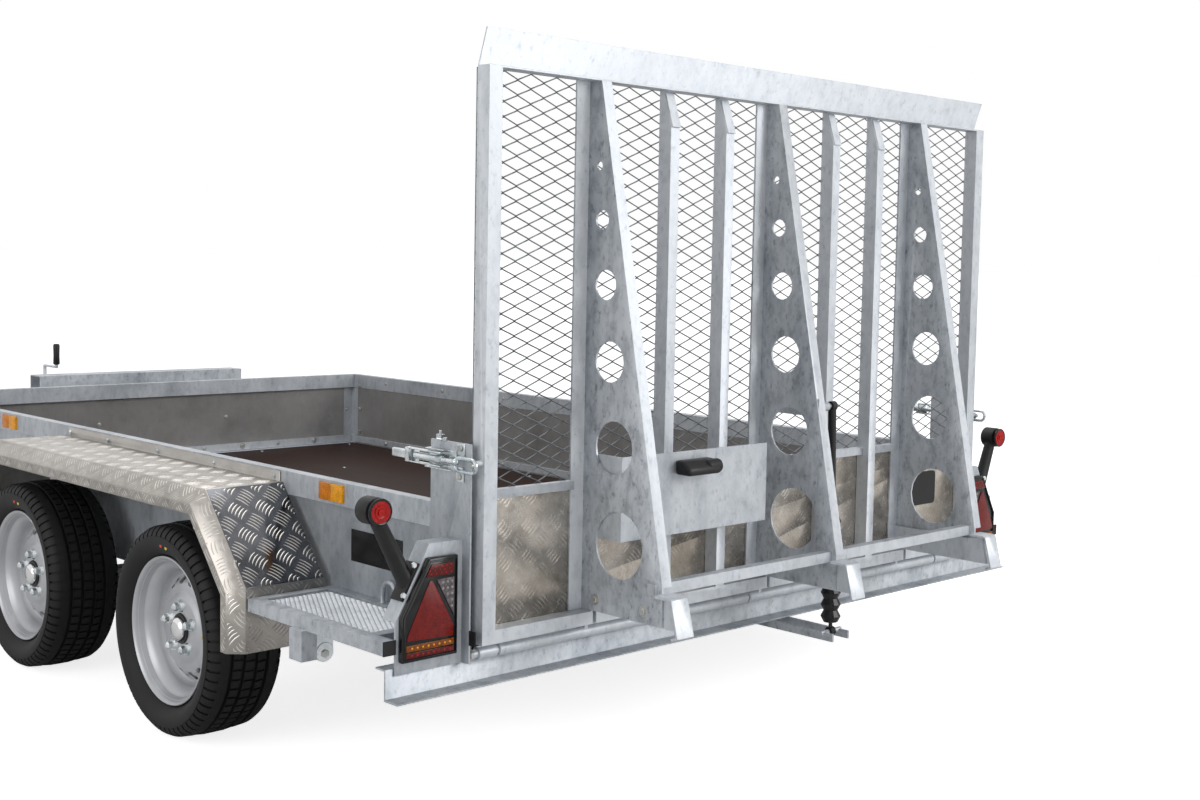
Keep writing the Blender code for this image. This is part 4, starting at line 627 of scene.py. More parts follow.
def painted_finish(name, colour, roughness, metallic):
    """Sprayed paint with a faint orange peel."""
    finish, tree, shader, place = new_finish(name, colour, roughness, metallic)
    soft = noise(tree, place, 12.0, 4.0)
    feed(tree, ramp(tree, soft, (0.3, scaled(colour, 0.86)), (0.7, colour)), shader, "Base Color")
    feed(tree, spread(tree, soft, roughness - 0.06, roughness + 0.08), shader, "Roughness")
    bumped(tree, shader, noise(tree, place, 300.0, 2.0), 0.06, 0.0003)
    return finish


def lens_finish(name, colour, cell=260.0, glow=0.0):
    """A moulded lens with small prisms."""
    finish, tree, shader, place = new_finish(name, colour, 0.2, 0.0, 0.25)
    prisms = cells(tree, place, "F1", cell)
    base = ramp(tree, prisms, (0.1, colour), (0.75, scaled(colour, 0.5)))
    shade = ramp(tree, noise(tree, place, 60.0, 3.0), (0.35, (0.7, 0.7, 0.7)), (0.65, (1, 1, 1)))
    feed(tree, shaded(tree, 1.0, base, shade), shader, "Base Color")
    bumped(tree, shader, prisms, 0.35, 0.0008)
    shader.inputs["Emission Color"].default_value = (*colour, 1)
    shader.inputs["Emission Strength"].default_value = glow
    return finish


def film_finish(name, colour):
    """Brown film on plywood, printed with a fine non-slip net."""
    finish, tree, shader, place = new_finish(name, colour, 0.42, 0.0, 0.08)
    cloud = noise(tree, place, 6.0, 6.0, 0.65, (1, 0.3, 1))
    feed(tree, ramp(tree, cloud, (0.3, colour), (0.75, scaled(colour, 1.5))), shader, "Base Color")
    feed(tree, spread(tree, cloud, 0.45, 0.65), shader, "Roughness")
    bumped(tree, shader, cells(tree, place, "DISTANCE_TO_EDGE", 260.0), 0.3, 0.0006)
    return finish


def all_finishes(looks):
    """Every finish of the trailer, by a plain name."""
    light, dark = tuple(looks.zinc_light), tuple(looks.zinc_dark)
    tread = tuple(looks.tread_colour)
    even = (1, 1, 1)
    return {
        "sheet": galvanised_finish("Galvanised sheet", light, dark, contrast=0.7),
        "web": galvanised_finish("Galvanised web", light, dark, 0.42, contrast=1.2),
        "tube": galvanised_finish("Galvanised tube", scaled(light, 1.10), light, 0.4, contrast=0.6),
        "bar": galvanised_finish("Galvanised bar", light, dark, 0.42, (1, 0.4, 1)),
        # Painted shade: a darker zinc for the walls' faces on the load's side, standing in for the shade inside the
        # body.
        "inner": galvanised_finish("Inner sheet with painted shade", (0.56, 0.545, 0.525), (0.41, 0.40, 0.385), 0.5,
                                   even, 0.35, 0.2),
        "strand": galvanised_finish("Galvanised strand", (0.24, 0.25, 0.26), (0.13, 0.14, 0.15), 0.35,
                                    even, 1.0, 0.5),
        "lath": galvanised_finish("Bright step mesh", (0.66, 0.68, 0.70), (0.44, 0.46, 0.48), 0.32,
                                  even, 0.6, 0.5),
        "zinc": galvanised_finish("Bright zinc", (0.90, 0.92, 0.91), (0.50, 0.56, 0.58), 0.2, even, 0.8, 0.85),
        "bolt": galvanised_finish("Zinc bolts", (0.62, 0.62, 0.58), (0.42, 0.43, 0.40), 0.3, even, 0.5, 0.7),
        "tread": tread_finish("Aluminium tread plate", tread, scaled(tread, 0.78), 0.27),
        # Painted reflection: a dark copy of the tread plate for the guards' slanted rear faces, standing in for dark
        # surroundings mirrored in them.
        "painted_reflection_plate": tread_finish("Plate with painted dark reflection", (0.16, 0.165, 0.18), (0.085, 0.09, 0.10), 0.12),
        # Painted light: a paler copy of the tread plate for the ramp plate's rear-facing faces and their bars,
        # standing in for the light on them.
        "painted_light_tread": tread_finish("Tread plate with painted light", (0.66, 0.61, 0.55), (0.36, 0.32, 0.27), 0.2),
        # Painted highlight: the raised bars are paler than the plate, standing in for the light they catch.
        "tread_bar": tread_finish("Tread bars with painted highlight", (0.64, 0.61, 0.575), (0.48, 0.455, 0.43), 0.26),
        "tyre": rubber_finish("Tyre rubber", (0.0065, 0.0065, 0.007), 0.6),
        "rubber": rubber_finish("Moulded rubber", (0.009, 0.009, 0.0095), 0.5, 500.0),
        "shine": plastic_finish("Glossy rubber", (0.010, 0.010, 0.011), 0.24),
        "plastic": plastic_finish("Black plastic", (0.010, 0.010, 0.011), 0.42),
        "gloss": plastic_finish("Gloss black plastic", (0.008, 0.008, 0.009), 0.14),
        "rim": painted_finish("Silver wheel paint", tuple(looks.wheel_colour), 0.36, 0.45),
        "chrome": painted_finish("Polished cap", (0.80, 0.80, 0.80), 0.12, 1.0),
        "brass": painted_finish("Valve brass", (0.72, 0.52, 0.18), 0.25, 1.0),
        "yellow": painted_finish("Yellow paint mark", (0.80, 0.55, 0.05), 0.6, 0.0),
        "mark": painted_finish("Red paint mark", (0.70, 0.06, 0.03), 0.6, 0.0),
        "film": film_finish("Film-faced plywood", tuple(looks.floor_colour)),
        "red": lens_finish("Red lens", (0.55, 0.012, 0.008), 260.0, 0.08),
        "bright_red": lens_finish("Bright marker lens", (0.52, 0.008, 0.006), 300.0, 0.12),
        "deep_red": lens_finish("Red reflector", (0.27, 0.014, 0.010), 420.0),
        "dull_red": lens_finish("Red light strip", (0.17, 0.012, 0.010), 300.0),
        "amber": lens_finish("Amber lens", (0.34, 0.095, 0.012)),
        # The orange finish glows. On the side reflectors this glow is painted light, and the darker finish has a
        # weaker painted glow.
        "orange": lens_finish("Orange reflector", (1.0, 0.42, 0.012), 420.0, 0.16),
        "painted_dim_glow_orange": lens_finish("Reflector with weaker painted glow", (0.90, 0.28, 0.008), 420.0, 0.08),
        "clear": lens_finish("Clear lens", (0.20, 0.17, 0.18), 180.0),
        "bead": lens_finish("Clear lens beads", (0.48, 0.46, 0.47), 500.0),
    }


FINISHES = {}


# Body

class TRAILER_OT_galvanised_body(bpy.types.Operator):
    """Round the edges of the galvanised sheet and tube of the body and the ramp"""

    bl_idname = "trailer.galvanised_body"
    bl_label = "Galvanised Body"

    def execute(self, context):
        groups = (
            ("chassis", "bar", "chassis"),
            ("chassis", "sheet", "front_wall"),
            ("chassis", "bar", "rear_sill"),
            ("chassis", "sheet", "rear_corner_left rear_corner_right side_wall_left side_wall_right"),
            ("chassis", "bar", "step_left step_right bucket_rest overrun_housing brake_lever coupling_head "
                               "spring_lever"),
            ("chassis", "tube", "jockey_tube"),
            ("chassis", "bar", "front_axle rear_axle"),
            ("ramp", "tube", "ramp_frame"),
            ("ramp", "web", "ramp_ribs"),
            ("ramp", "tube", "foot_left foot_middle foot_right"),
            ("ramp", "sheet", "number_board"),
        )
        for body, finish, names in groups:
            for name in names.split():
                piece = dressed(name, context.scene.trailer_looks.edge_round, 1)
                put(piece, name + "_dressed", finish, body, "galvanised", name)
                # Painted shade: the walls' faces on the load's side get the darker inner zinc.
                if "wall" in name:
                    second_finish(piece, "inner", self.inner_face(name))
                # Painted light: the ribs' rear-facing faces get the paler tube zinc, standing in for the light that
                # falls on them.
                if name == "ramp_ribs":
                    second_finish(piece, "tube", lambda place, normal: normal.y < -0.9)
        paint_node("jockey_leg", "tube")
        paint_node("jockey_fork", "bar")
        return {"FINISHED"}

    def inner_face(self, name):
        """A test for the wall's broad face on the load's side, below its rail, which gets the painted shade."""
        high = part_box(name)[1]
        axis, sign = (1, -1) if name == "front_wall" else (0, -1 if high.x > 0 else 1)
        return lambda place, normal: normal[axis] * sign > 0.9 and place.z < high.z - 0.03


class TRAILER_OT_floor(bpy.types.Operator):
    """Film-faced floor with rows of screws"""

    bl_idname = "trailer.floor"
    bl_label = "Floor"

    def execute(self, context):
        put(dressed("floor", 0.001, 1), "floor_board", "film", "chassis", "film_ply", "floor")
        low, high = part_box("floor")
        margin_x, margin_y = 0.05, 0.06
        rows, across = 6, 5
        screw = bar((0, 0, -0.0004), (0, 0, 0.0016), 0.007, 12, bevel=0.0006)
        screws = []
        for row in range(rows):
            y = low.y + margin_y + (high.y - low.y - 2 * margin_y) * row / (rows - 1)
            for column in range(across):
                x = low.x + margin_x + (high.x - low.x - 2 * margin_x) * column / (across - 1)
                screws.append(copy_of(screw, (x, y, high.z)))
        remove(screw)
        put(smooth(joined(screws)), "floor_screws", "zinc", "chassis", "bright_zinc")
        return {"FINISHED"}


# Ramp

class TRAILER_OT_ramp_mesh(bpy.types.Operator):
    """Expanded mesh of the ramp and of the steps: drawn-out diamonds between strands"""

    bl_idname = "trailer.ramp_mesh"
    bl_label = "Ramp and Step Mesh"

    def execute(self, context):
        looks = context.scene.trailer_looks
        piece = net("ramp_mesh", "Y", looks.mesh_width, looks.mesh_height, looks.strand)
        put(piece, "ramp_net", "strand", "ramp", "galvanised", "ramp_mesh")
        for side in SIDES:
            name = "step_tread_" + side
            piece = net(name, "Z", looks.step_mesh_length, looks.step_mesh_width, looks.step_strand)
            put(piece, name + "_net", "lath", "chassis", "galvanised", name)
        return {"FINISHED"}


class TRAILER_OT_tread_plates(bpy.types.Operator):
    """Five-bar tread plate on the ramp's foot and over the wheels"""

    bl_idname = "trailer.tread_plates"
    bl_label = "Tread Plates"

    def execute(self, context):
        pitch = context.scene.trailer_looks.tread_pitch
        for side in SIDES:
            name = "guard_" + side
            low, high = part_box(name)
            core = Vector(((low.x + high.x) / 2, (low.y + high.y) / 2, low.z))
            edge = min(abs(low.x), abs(high.x)) + 0.02

            def shown(place, normal):
                return abs(place.x) > edge and normal.dot(place - core) > 0

            plate = dressed(name, 0.0012, 1)
            bars = stamped_bars(plate, shown, pitch)
            put(plate, name + "_plate", "tread", "chassis", "tread_plate", name)
            # Painted reflection: the guards' slanted rear faces get the dark tread.
            second_finish(plate, "painted_reflection_plate",
                          lambda place, normal: normal.y < -0.5 and normal.z > 0.15 and abs(normal.x) < 0.2)
            # The bars get the paler finish with painted highlight.
            put(bars, name + "_bars", "tread_bar", "chassis", "tread_plate")
        plate = dressed("ramp_plates", 0.0008, 1)
        # The back bars take the tread with painted light, the front bars the one with painted highlight.
        faces = (("back", -1, "painted_light_tread", 0.0005), ("front", 1, "tread_bar", 0.0011))
        stamps = [(label, finish, stamped_bars(plate, lambda place, normal: normal.y * way > 0.9, pitch, height))
                  for label, way, finish, height in faces]
        put(plate, "ramp_plates_sheet", "tread", "ramp", "tread_plate", "ramp_plates")
        # Painted light: the plate's rear-facing faces get the paler tread.
        second_finish(plate, "painted_light_tread", lambda place, normal: normal.y < -0.5)
        for label, finish, bars in stamps:
            put(bars, f"ramp_plates_{label}_bars", finish, "ramp", "tread_plate")
        return {"FINISHED"}


# Wheels

class TRAILER_OT_tyres(bpy.types.Operator):
    """Road tyres with grooves, blocks and shoulder notches"""

    bl_idname = "trailer.tyres"
    bl_label = "Tyres"

    def execute(self, context):
        looks = context.scene.trailer_looks
        for wheel, _ in WHEELS:
            name = "tyre_" + wheel
            low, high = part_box(name)
            tyre = self.tyre(looks, (high.z - low.z) / 2, (high.x - low.x) / 2)
            put(smooth(moved(tyre, (low + high) / 2), 28), name + "_treaded", "tyre", "wheel_" + wheel, "tyre", name)
        return {"FINISHED"}

    def tyre(self, looks, radius, half):
        """One tyre: a grooved ring whose ribs are cut into blocks."""
        edge, steps = 0.0050, looks.tyre_steps
        crown = []
        for place in (-0.046, -0.016, 0.016, 0.046):
            level = radius - 0.0035 * (place / 0.05) ** 2
            floor = level - looks.groove_depth
            crown += [(level, place - edge), (floor, place - edge * 0.6), (floor, place + edge * 0.6),
                      (level, place + edge)]
        side = [(0.1830, 0.0700), (0.1900, 0.0790), (0.2020, 0.0900), (0.2180, half - 0.0006),
                (0.2320, half - 0.0014), (0.2330, half - 0.0034), (0.2420, half - 0.0060),
                (radius - 0.010, half - 0.0150), (radius - 0.0052, half - 0.0240)]
        profile = [(r, -p) for r, p in side] + crown + [(r, p) for r, p in reversed(side)]
        piece = spun(profile + [profile[0]], steps)

        def notched(face):
            middle = face.calc_center_median()
            step = int(math.atan2(middle.z, middle.y) % FULL_TURN / FULL_TURN * steps)
            place, reach = abs(middle.x), math.hypot(middle.y, middle.z)
            if half - 0.030 < place < half - 0.002 and reach > radius - 0.030:
                return step % 4 == 0
            if 0.0205 < place < 0.0415 and reach > radius - 0.006:
                return (step + (2 if middle.x > 0 else 0)) % 4 == 0
            return place < 0.0100 and reach > radius - 0.006 and step % 4 == 1

        edit(piece, "DESELECT")
        pick(piece, notched)
        bpy.ops.mesh.extrude_region_shrink_fatten(TRANSFORM_OT_shrink_fatten={"value": -0.0045})
        object_mode()
        return outward(piece)


class TRAILER_OT_rims(bpy.types.Operator):
    """Silver pressed wheels with vents, bolts, hub cap, valve and the tyres' paint marks"""

    bl_idname = "trailer.rims"
    bl_label = "Rims"

    def execute(self, context):
        looks = context.scene.trailer_looks
        for wheel, sign in WHEELS:
            low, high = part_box("rim_" + wheel)
            centre = (low + high) / 2

            def add(piece, name, finish, cad_slot, *nodes):
                """Put a piece, made round the origin with its outside at +X, on this wheel."""
                piece.data.transform(Matrix.Translation(centre) @ Matrix.Diagonal((sign, 1, 1, 1)))
                put(outward(piece), name, finish, "wheel_" + wheel, cad_slot, *nodes)

            add(self.rim(looks, (high.z - low.z) / 2), f"rim_{wheel}_pressed", "rim", "wheel_silver", "rim_" + wheel)
            bolts = [self.bolt(looks, i) for i in range(looks.bolt_count)]
            add(smooth(joined(bolts)), "wheel_bolts_" + wheel, "zinc", "bright_zinc")
            cap = spun([(0.0005, 0.0585), (0.016, 0.0580), (0.024, 0.0560), (0.0285, 0.0510), (0.0290, 0.0400)], 32)
            add(smooth(cap), "hub_cap_" + wheel, "chrome", "bright_zinc")
            ring = spun([(0.0290, 0.0400), (0.0300, 0.0445), (0.0360, 0.0445), (0.0385, 0.0400)], 40)
            add(smooth(ring), "hub_ring_" + wheel, "plastic", "black_plastic")
            for mark, finish, turn in (("yellow", "yellow", 98), ("red", "mark", 91)):
                spot = self.paint_mark(f"tyre_{wheel}_treaded", centre, sign, math.radians(turn))
                put(spot, f"tyre_mark_{mark}_{wheel}", finish, "wheel_" + wheel, "tyre")
            add(self.valve(), "valve_" + wheel, "brass", "bright_zinc")
        return {"FINISHED"}

    def rim(self, looks, radius):
        """A rim and disc spun from one profile of (radius, place along the axle), with vents cut out."""
        outline = [(0.0295, 0.0400), (0.0400, 0.0405), (0.0720, 0.0405), (0.0790, 0.0380), (0.0860, 0.0330),
                   (0.0920, 0.0310), (0.1060, 0.0310), (0.1150, 0.0270), (0.1230, 0.0160), (0.1290, 0.0110),
                   (0.1350, 0.0100), (0.1400, 0.0140), (0.1440, 0.0260), (0.1500, 0.0420), (0.1600, 0.0500),
                   (0.1680, 0.0560), (0.1720, 0.0700), (0.1760, 0.0760), (0.1800, 0.0782), (radius, 0.0770),
                   (radius, 0.0720), (0.1700, 0.0660), (0.1660, 0.0560), (0.1520, 0.0240), (0.1500, -0.0240),
                   (0.1660, -0.0600), (radius, -0.0720), (radius, -0.0770), (0.1780, -0.0780),
                   (0.1620, -0.0580), (0.1460, -0.0240), (0.1440, 0.0060), (0.1350, 0.0050), (0.1230, 0.0100),
                   (0.1060, 0.0250), (0.0600, 0.0330), (0.0450, 0.0330), (0.0450, -0.0450), (0.0210, -0.0450)]
        piece = smooth(spun(outline, looks.rim_steps), 40)
        vents = []
        for i in range(looks.vent_count):
            vent = block((-0.02, 0.1085, -0.0105), (0.06, 0.1300, 0.0105), 0.0050, 3)
            vent.data.transform(Matrix.Rotation(FULL_TURN * (i + 0.5) / looks.vent_count, 4, "X"))
            vents.append(vent)
        cutter = joined(vents)
        modify(piece, "BOOLEAN", operation="DIFFERENCE", solver="EXACT", object=cutter)
        remove(cutter)
        return smooth(piece, 40)

    def bolt(self, looks, i):
        """One wheel bolt with its conical seat."""
        angle = FULL_TURN * (i + 0.25) / looks.bolt_count
        y, z = looks.bolt_circle * math.cos(angle), looks.bolt_circle * math.sin(angle)
        return joined([bolt_head((0.0470, y, z), (1, 0, 0), 0.0105, 0.016),
                       bar((0.0395, y, z), (0.0475, y, z), 0.0165, 24, end_radius=0.0125)])

    def paint_mark(self, tyre_name, centre, sign, angle):
        """A small round paint mark on the tyre's side."""
        reach, across = 0.212, Vector((sign, 0, 0))
        start = centre + Vector((sign * 0.4, reach * math.cos(angle), reach * math.sin(angle)))
        place = hit(bpy.data.objects[tyre_name], start, -across)
        return bar(place - across * 0.0006, place + across * 0.0008, 0.0052, 16, bevel=0.0003)

    def valve(self):
        """The valve's cap and stem."""
        stem = bar((0.0120, -0.148, 0.004), (0.0440, -0.136, 0.004), 0.0030, 12)
        cap = bar((0.0400, -0.1375, 0.004), (0.0560, -0.1315, 0.004), 0.0042, 12, bevel=0.001)
        return smooth(joined([cap, stem]))


# Lamps and latches

class TRAILER_OT_tail_lamps(bpy.types.Operator):
    """Tail lamps: glossy rim, red block, triangle, clear part, amber and red strips"""

    bl_idname = "trailer.tail_lamps"
    bl_label = "Tail Lamps"

    def execute(self, context):
        low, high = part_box("tail_lamp_left")
        back = low.y

        def spot(u, v):
            """The place of a share of the lamp's width and height, from its inner foot."""
            return high.x + (low.x - high.x) * u, low.z + (high.z - low.z) * v

        pair(dressed("tail_lamp_left", 0.003, 2), "tail_lamp_SIDE_housing", "gloss", "chassis", "lamp",
             "tail_lamp_SIDE")
        rim = [spot(u, v) for u, v in ((0.03, 0.03), (0.96, 0.03), (0.96, 0.44), (0.50, 0.965), (0.03, 0.965))]
        pair(smooth(loop_wire([(x, back - 0.0006, z) for x, z in rim], 0.0022)), "tail_lamp_SIDE_rim", "gloss",
             "chassis", "lamp")
        for name, finish, outline in self.lenses():
            shape = outline_piece([spot(u, v) for u, v in outline], back - 0.0022, back + 0.002, 0.0009)
            pair(smooth(shape), f"tail_lamp_SIDE_{name}", finish, "chassis", "lamp")
        for name, finish, size, places in self.cells():
            domes = [bar((x, back - 0.0016, z), (x, back - 0.0022 - size * 0.45, z), size, 12, end_radius=size * 0.45)
                     for x, z in (spot(u, v) for u, v in places)]
            pair(smooth(joined(domes), 80), f"tail_lamp_SIDE_{name}", finish, "chassis", "lamp")
        return {"FINISHED"}

    def lenses(self):
        """Each lens: name, finish and outline as shares of the lamp."""
        return (
            ("stop_block", "dull_red", ((0.09, 0.83), (0.15, 0.815), (0.60, 0.815), (0.50, 0.935), (0.09, 0.935))),
            ("triangle", "deep_red", ((0.09, 0.195), (0.93, 0.215), (0.92, 0.26), (0.53, 0.775), (0.47, 0.775),
                                      (0.085, 0.30))),
            ("clear_part", "clear", ((0.080, 0.40), (0.40, 0.78), (0.080, 0.785))),
            ("amber_strip", "amber", ((0.08, 0.108), (0.94, 0.108), (0.94, 0.172), (0.08, 0.172))),
            ("red_strip", "dull_red", ((0.08, 0.042), (0.94, 0.042), (0.94, 0.098), (0.08, 0.098))),
        )

    def cells(self):
        """Each set of small domed cells: name, finish, size, and places as shares of the lamp."""
        stop = [(0.14 + 0.09 * i + 0.03 * (j % 2), 0.84 + 0.035 * j)
                for j in range(3) for i in range(5) if 0.14 + 0.09 * i < 0.60 - 0.12 * j / 2]
        clear = [(0.12 + 0.085 * i, 0.745 - 0.062 * j) for j in range(5) for i in range(4)
                 if 0.40 + (0.745 - 0.062 * j - 0.78) * 0.84 > 0.12 + 0.085 * i + 0.02]
        row = [0.15 + 0.098 * i for i in range(8)]
        return (("stop_dots", "red", 0.0024, stop), ("clear_dots", "bead", 0.0036, clear),
                ("amber_cells", "orange", 0.0030, [(u, 0.140) for u in row]),
                ("red_cells", "red", 0.0028, [(u, 0.070) for u in row]))


class TRAILER_OT_small_lamps(bpy.types.Operator):
    """Marker lamps, plate lamp and side reflectors"""

    bl_idname = "trailer.small_lamps"
    bl_label = "Small Lamps"

    def execute(self, context):
        self.markers()
        self.plate_lamp()
        self.side_reflectors()
        return {"FINISHED"}

    def markers(self):
        """Round marker lamps on thick rubber arms, with two screws at the foot."""
        low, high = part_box("marker_lamp_left")
        radius = MARKER_HEAD
        pair(dressed("marker_lamp_left", 0.0014, 2), "marker_lamp_SIDE_rubber", "rubber", "chassis", "rubber",
             "marker_lamp_SIDE")
        for end, y, out, colour in (("rear", low.y, -1, "bright_red"), ("front", high.y, 1, "clear")):
            ring = [(radius * 0.80, -0.0010), (radius * 0.80, 0.0030), (radius * 0.88, 0.0040),
                    (radius * 0.97, 0.0016), (radius * 0.97, -0.0010), (radius * 0.80, -0.0010)]
            lens = [(0.0004, 0.0052), (0.0070, 0.0050), (0.0075, 0.0030), (0.0140, 0.0040), (0.0145, 0.0024),
                    (radius * 0.79, 0.0026), (radius * 0.80, -0.0010)]
            move = Matrix.Translation((low.x + radius, y, high.z - radius)) @ Matrix.Diagonal((1, out, 1, 1))
            pieces = ((spun(ring, 40, axis="Y"), "ring", "gloss"), (spun(lens, 24, axis="Y"), "lens", colour))
            for piece, name, finish in pieces:
                piece.data.transform(move)
                pair(smooth(outward(piece), 25), f"marker_{name}_{end}_SIDE", finish, "chassis", "lamp")
        screws = [bar(at(x, y + 0.002, z), at(x, y - 0.0045, z), 0.0065, 6, bevel=0.001) for x, y, z in MARKER_SCREWS]
        pair(smooth(joined(screws)), "marker_screws_SIDE", "zinc", "chassis", "bright_zinc")

    def plate_lamp(self):
        """The number plate's lamp: a rounded black housing with a barrel at its right."""
        low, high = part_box("plate_lamp")
        put(dressed("plate_lamp", 0.007, 3), "plate_lamp_cover", "plastic", "ramp", "black_plastic", "plate_lamp")
        barrel = spun([(0.0004, -0.022), (0.013, -0.022), (0.0165, -0.018), (0.0175, 0.016), (0.0155, 0.021),
                       (0.0125, 0.021), (0.0120, 0.017), (0.0004, 0.017)], 32)
        moved(barrel, (high.x - 0.014, (low.y + high.y) / 2 - 0.006, (low.z + high.z) / 2 - 0.001))
        put(smooth(barrel), "plate_lamp_barrel", "plastic", "ramp", "black_plastic")

    def side_reflectors(self):
        """Orange reflectors on the rails' outer faces, in two shades, with a painted glow that is stronger on the
        rear half.
        """
        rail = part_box("side_wall_left")[0].x
        for end, start in (("rear", 0.506), ("front", 2.35)):
            # Painted light: the rear half glows brighter than the front half.
            for part, near, far, finish in (("back", 0, 0.050, "orange"), ("fore", 0.0505, 0.101, "painted_dim_glow_orange")):
                piece = slab((rail - 0.006, rail + 0.0005), (start + near, start + far), (0.610, 0.651), 0.0012)
                pair(smooth(piece), f"side_reflector_{end}_{part}_SIDE", finish, "chassis", "lamp")


class TRAILER_OT_latches(bpy.types.Operator):
    """Bright zinc latches that hold the ramp up: base, lever, hook rod and link"""

    bl_idname = "trailer.latches"
    bl_label = "Latches"

    def execute(self, context):
        low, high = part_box("latch_left")
        base, out, middle = high.x, low.x, (low.z + high.z) / 2
        rod_x, link_z = out + 0.0060, middle - 0.004

        def blocks(foot, level, rows):
            """Blocks from rows: spans across from a foot, along, and up from a level, then bevel and segments."""
            return [slab((foot + x, foot + far_x), (y, far_y), (level + z, level + far_z), *rounding)
                    for x, far_x, y, far_y, z, far_z, *rounding in rows]

        folds = blocks(base, middle, (
            (0, -0.0024, 0.072, 0.166, -0.0195, 0.0195, 0.0006, 1),
            (0, out + 0.0060 - base, 0.100, 0.1635, 0.0190, 0.0215, 0.0008),
            (0, out + 0.0060 - base, 0.074, 0.166, -0.0215, -0.0190, 0.0008),
            (0, -0.0022, 0.042, 0.070, 0.010, 0.038, 0.0009),
            (0, -0.0022, 0.045, 0.073, -0.044, -0.012, 0.0009)))
        folds += blocks(out, middle, (
            (0, 0.0030, 0.2165, 0.2300, -0.016, 0.016, 0.0012),
            (0.0030, 0.0130, 0.2240, 0.2290, -0.016, 0.016, 0.0012),
            (0, 0.0120, 0.104, 0.2200, 0.0125, 0.0160, 0.0012),
            (0, 0.0120, 0.104, 0.2200, -0.0160, -0.0125, 0.0012),
            (0.0090, 0.0115, 0.1900, 0.2200, -0.0130, 0.0130, 0.0008),
            (0.0010, 0.0110, 0.2260, 0.2810, -0.0095, 0.0095, 0.0024, 3)))
        rod = [bar(at(rod_x, start, middle), at(rod_x, end, middle), radius, sides, bevel=bevel)
               for start, end, radius, sides, bevel in ((0.198, 0.118, 0.0078, 24, 0.0012),
                                                        (0.120, 0.102, 0.0092, 6, 0.0010),
                                                        (0.104, 0.058, 0.0058, 20, 0.0010))]
        rod.append(spun([(0.0003, -0.0085), (0.0050, -0.0070), (0.0082, -0.0030), (0.0082, 0.0030), (0.0050, 0.0070),
                         (0.0003, 0.0085)], 20, at(rod_x, 0.055, middle), "Y"))
        half, rise, centre = 0.0355, 0.0140, 0.0205
        loop = [(centre + way * (half - rise) + y, z) for way in (1, -1)
                for y, z in arc((0, 0), rise, -way * math.pi / 2, math.pi, 10)]
        link = loop_wire([at(rod_x, y, link_z + z) for y, z in loop], 0.0042)
        zinc = ("zinc", "chassis", "bright_zinc")
        bolt = ("bolt", "chassis", "bright_zinc")
        pair(smooth(joined(folds), 40), "latch_SIDE_lever", *zinc, "latch_SIDE")
        pair(smooth(joined(rod), 40), "latch_SIDE_rod", *zinc)
        pair(smooth(link), "latch_SIDE_link", *zinc)
        screws = [bar(at(base - 0.0020, y, z), at(base - 0.0062, y, z), 0.0066, 16, bevel=0.0016)
                  for y, z in ((0.055, middle + 0.0285), (0.059, middle - 0.0335), (0.118, middle + 0.003))]
        pair(smooth(joined(screws)), "latch_SIDE_screws", *bolt)
        clip = blocks(base, 0, (
            (0.0042, -0.0080, 0.118, 0.136, 0.7962, 0.7984, 0.0005, 1),
            (0.0042, -0.0080, 0.134, 0.136, 0.7976, 0.8090, 0.0005, 1),
            (0.0042, -0.0080, 0.121, 0.136, 0.8070, 0.8090, 0.0005, 1)))
        clip += [bar(at(base - 0.0020, y, z), at(base - 0.0020, y, top), radius, sides, bevel=bevel)
                 for y, z, top, radius, sides, bevel in ((0.112, 0.7955, 0.8030, 0.0048, 6, 0.0008),
                                                         (0.128, 0.8085, 0.8170, 0.0032, 12, 0.0006))]
        pair(smooth(joined(clip)), "latch_SIDE_clip", *zinc)
        stud = [bar(at(-0.9155, 0.010, link_z), at(end, 0.010, link_z), radius, sides, bevel=0.0008)
                for end, radius, sides in ((-0.9290, 0.0055, 20), (-0.9215, 0.0105, 4))]
        pair(smooth(joined(stud)), "latch_stud_SIDE", "bolt", "ramp", "bright_zinc")
        return {"FINISHED"}


# Fixings

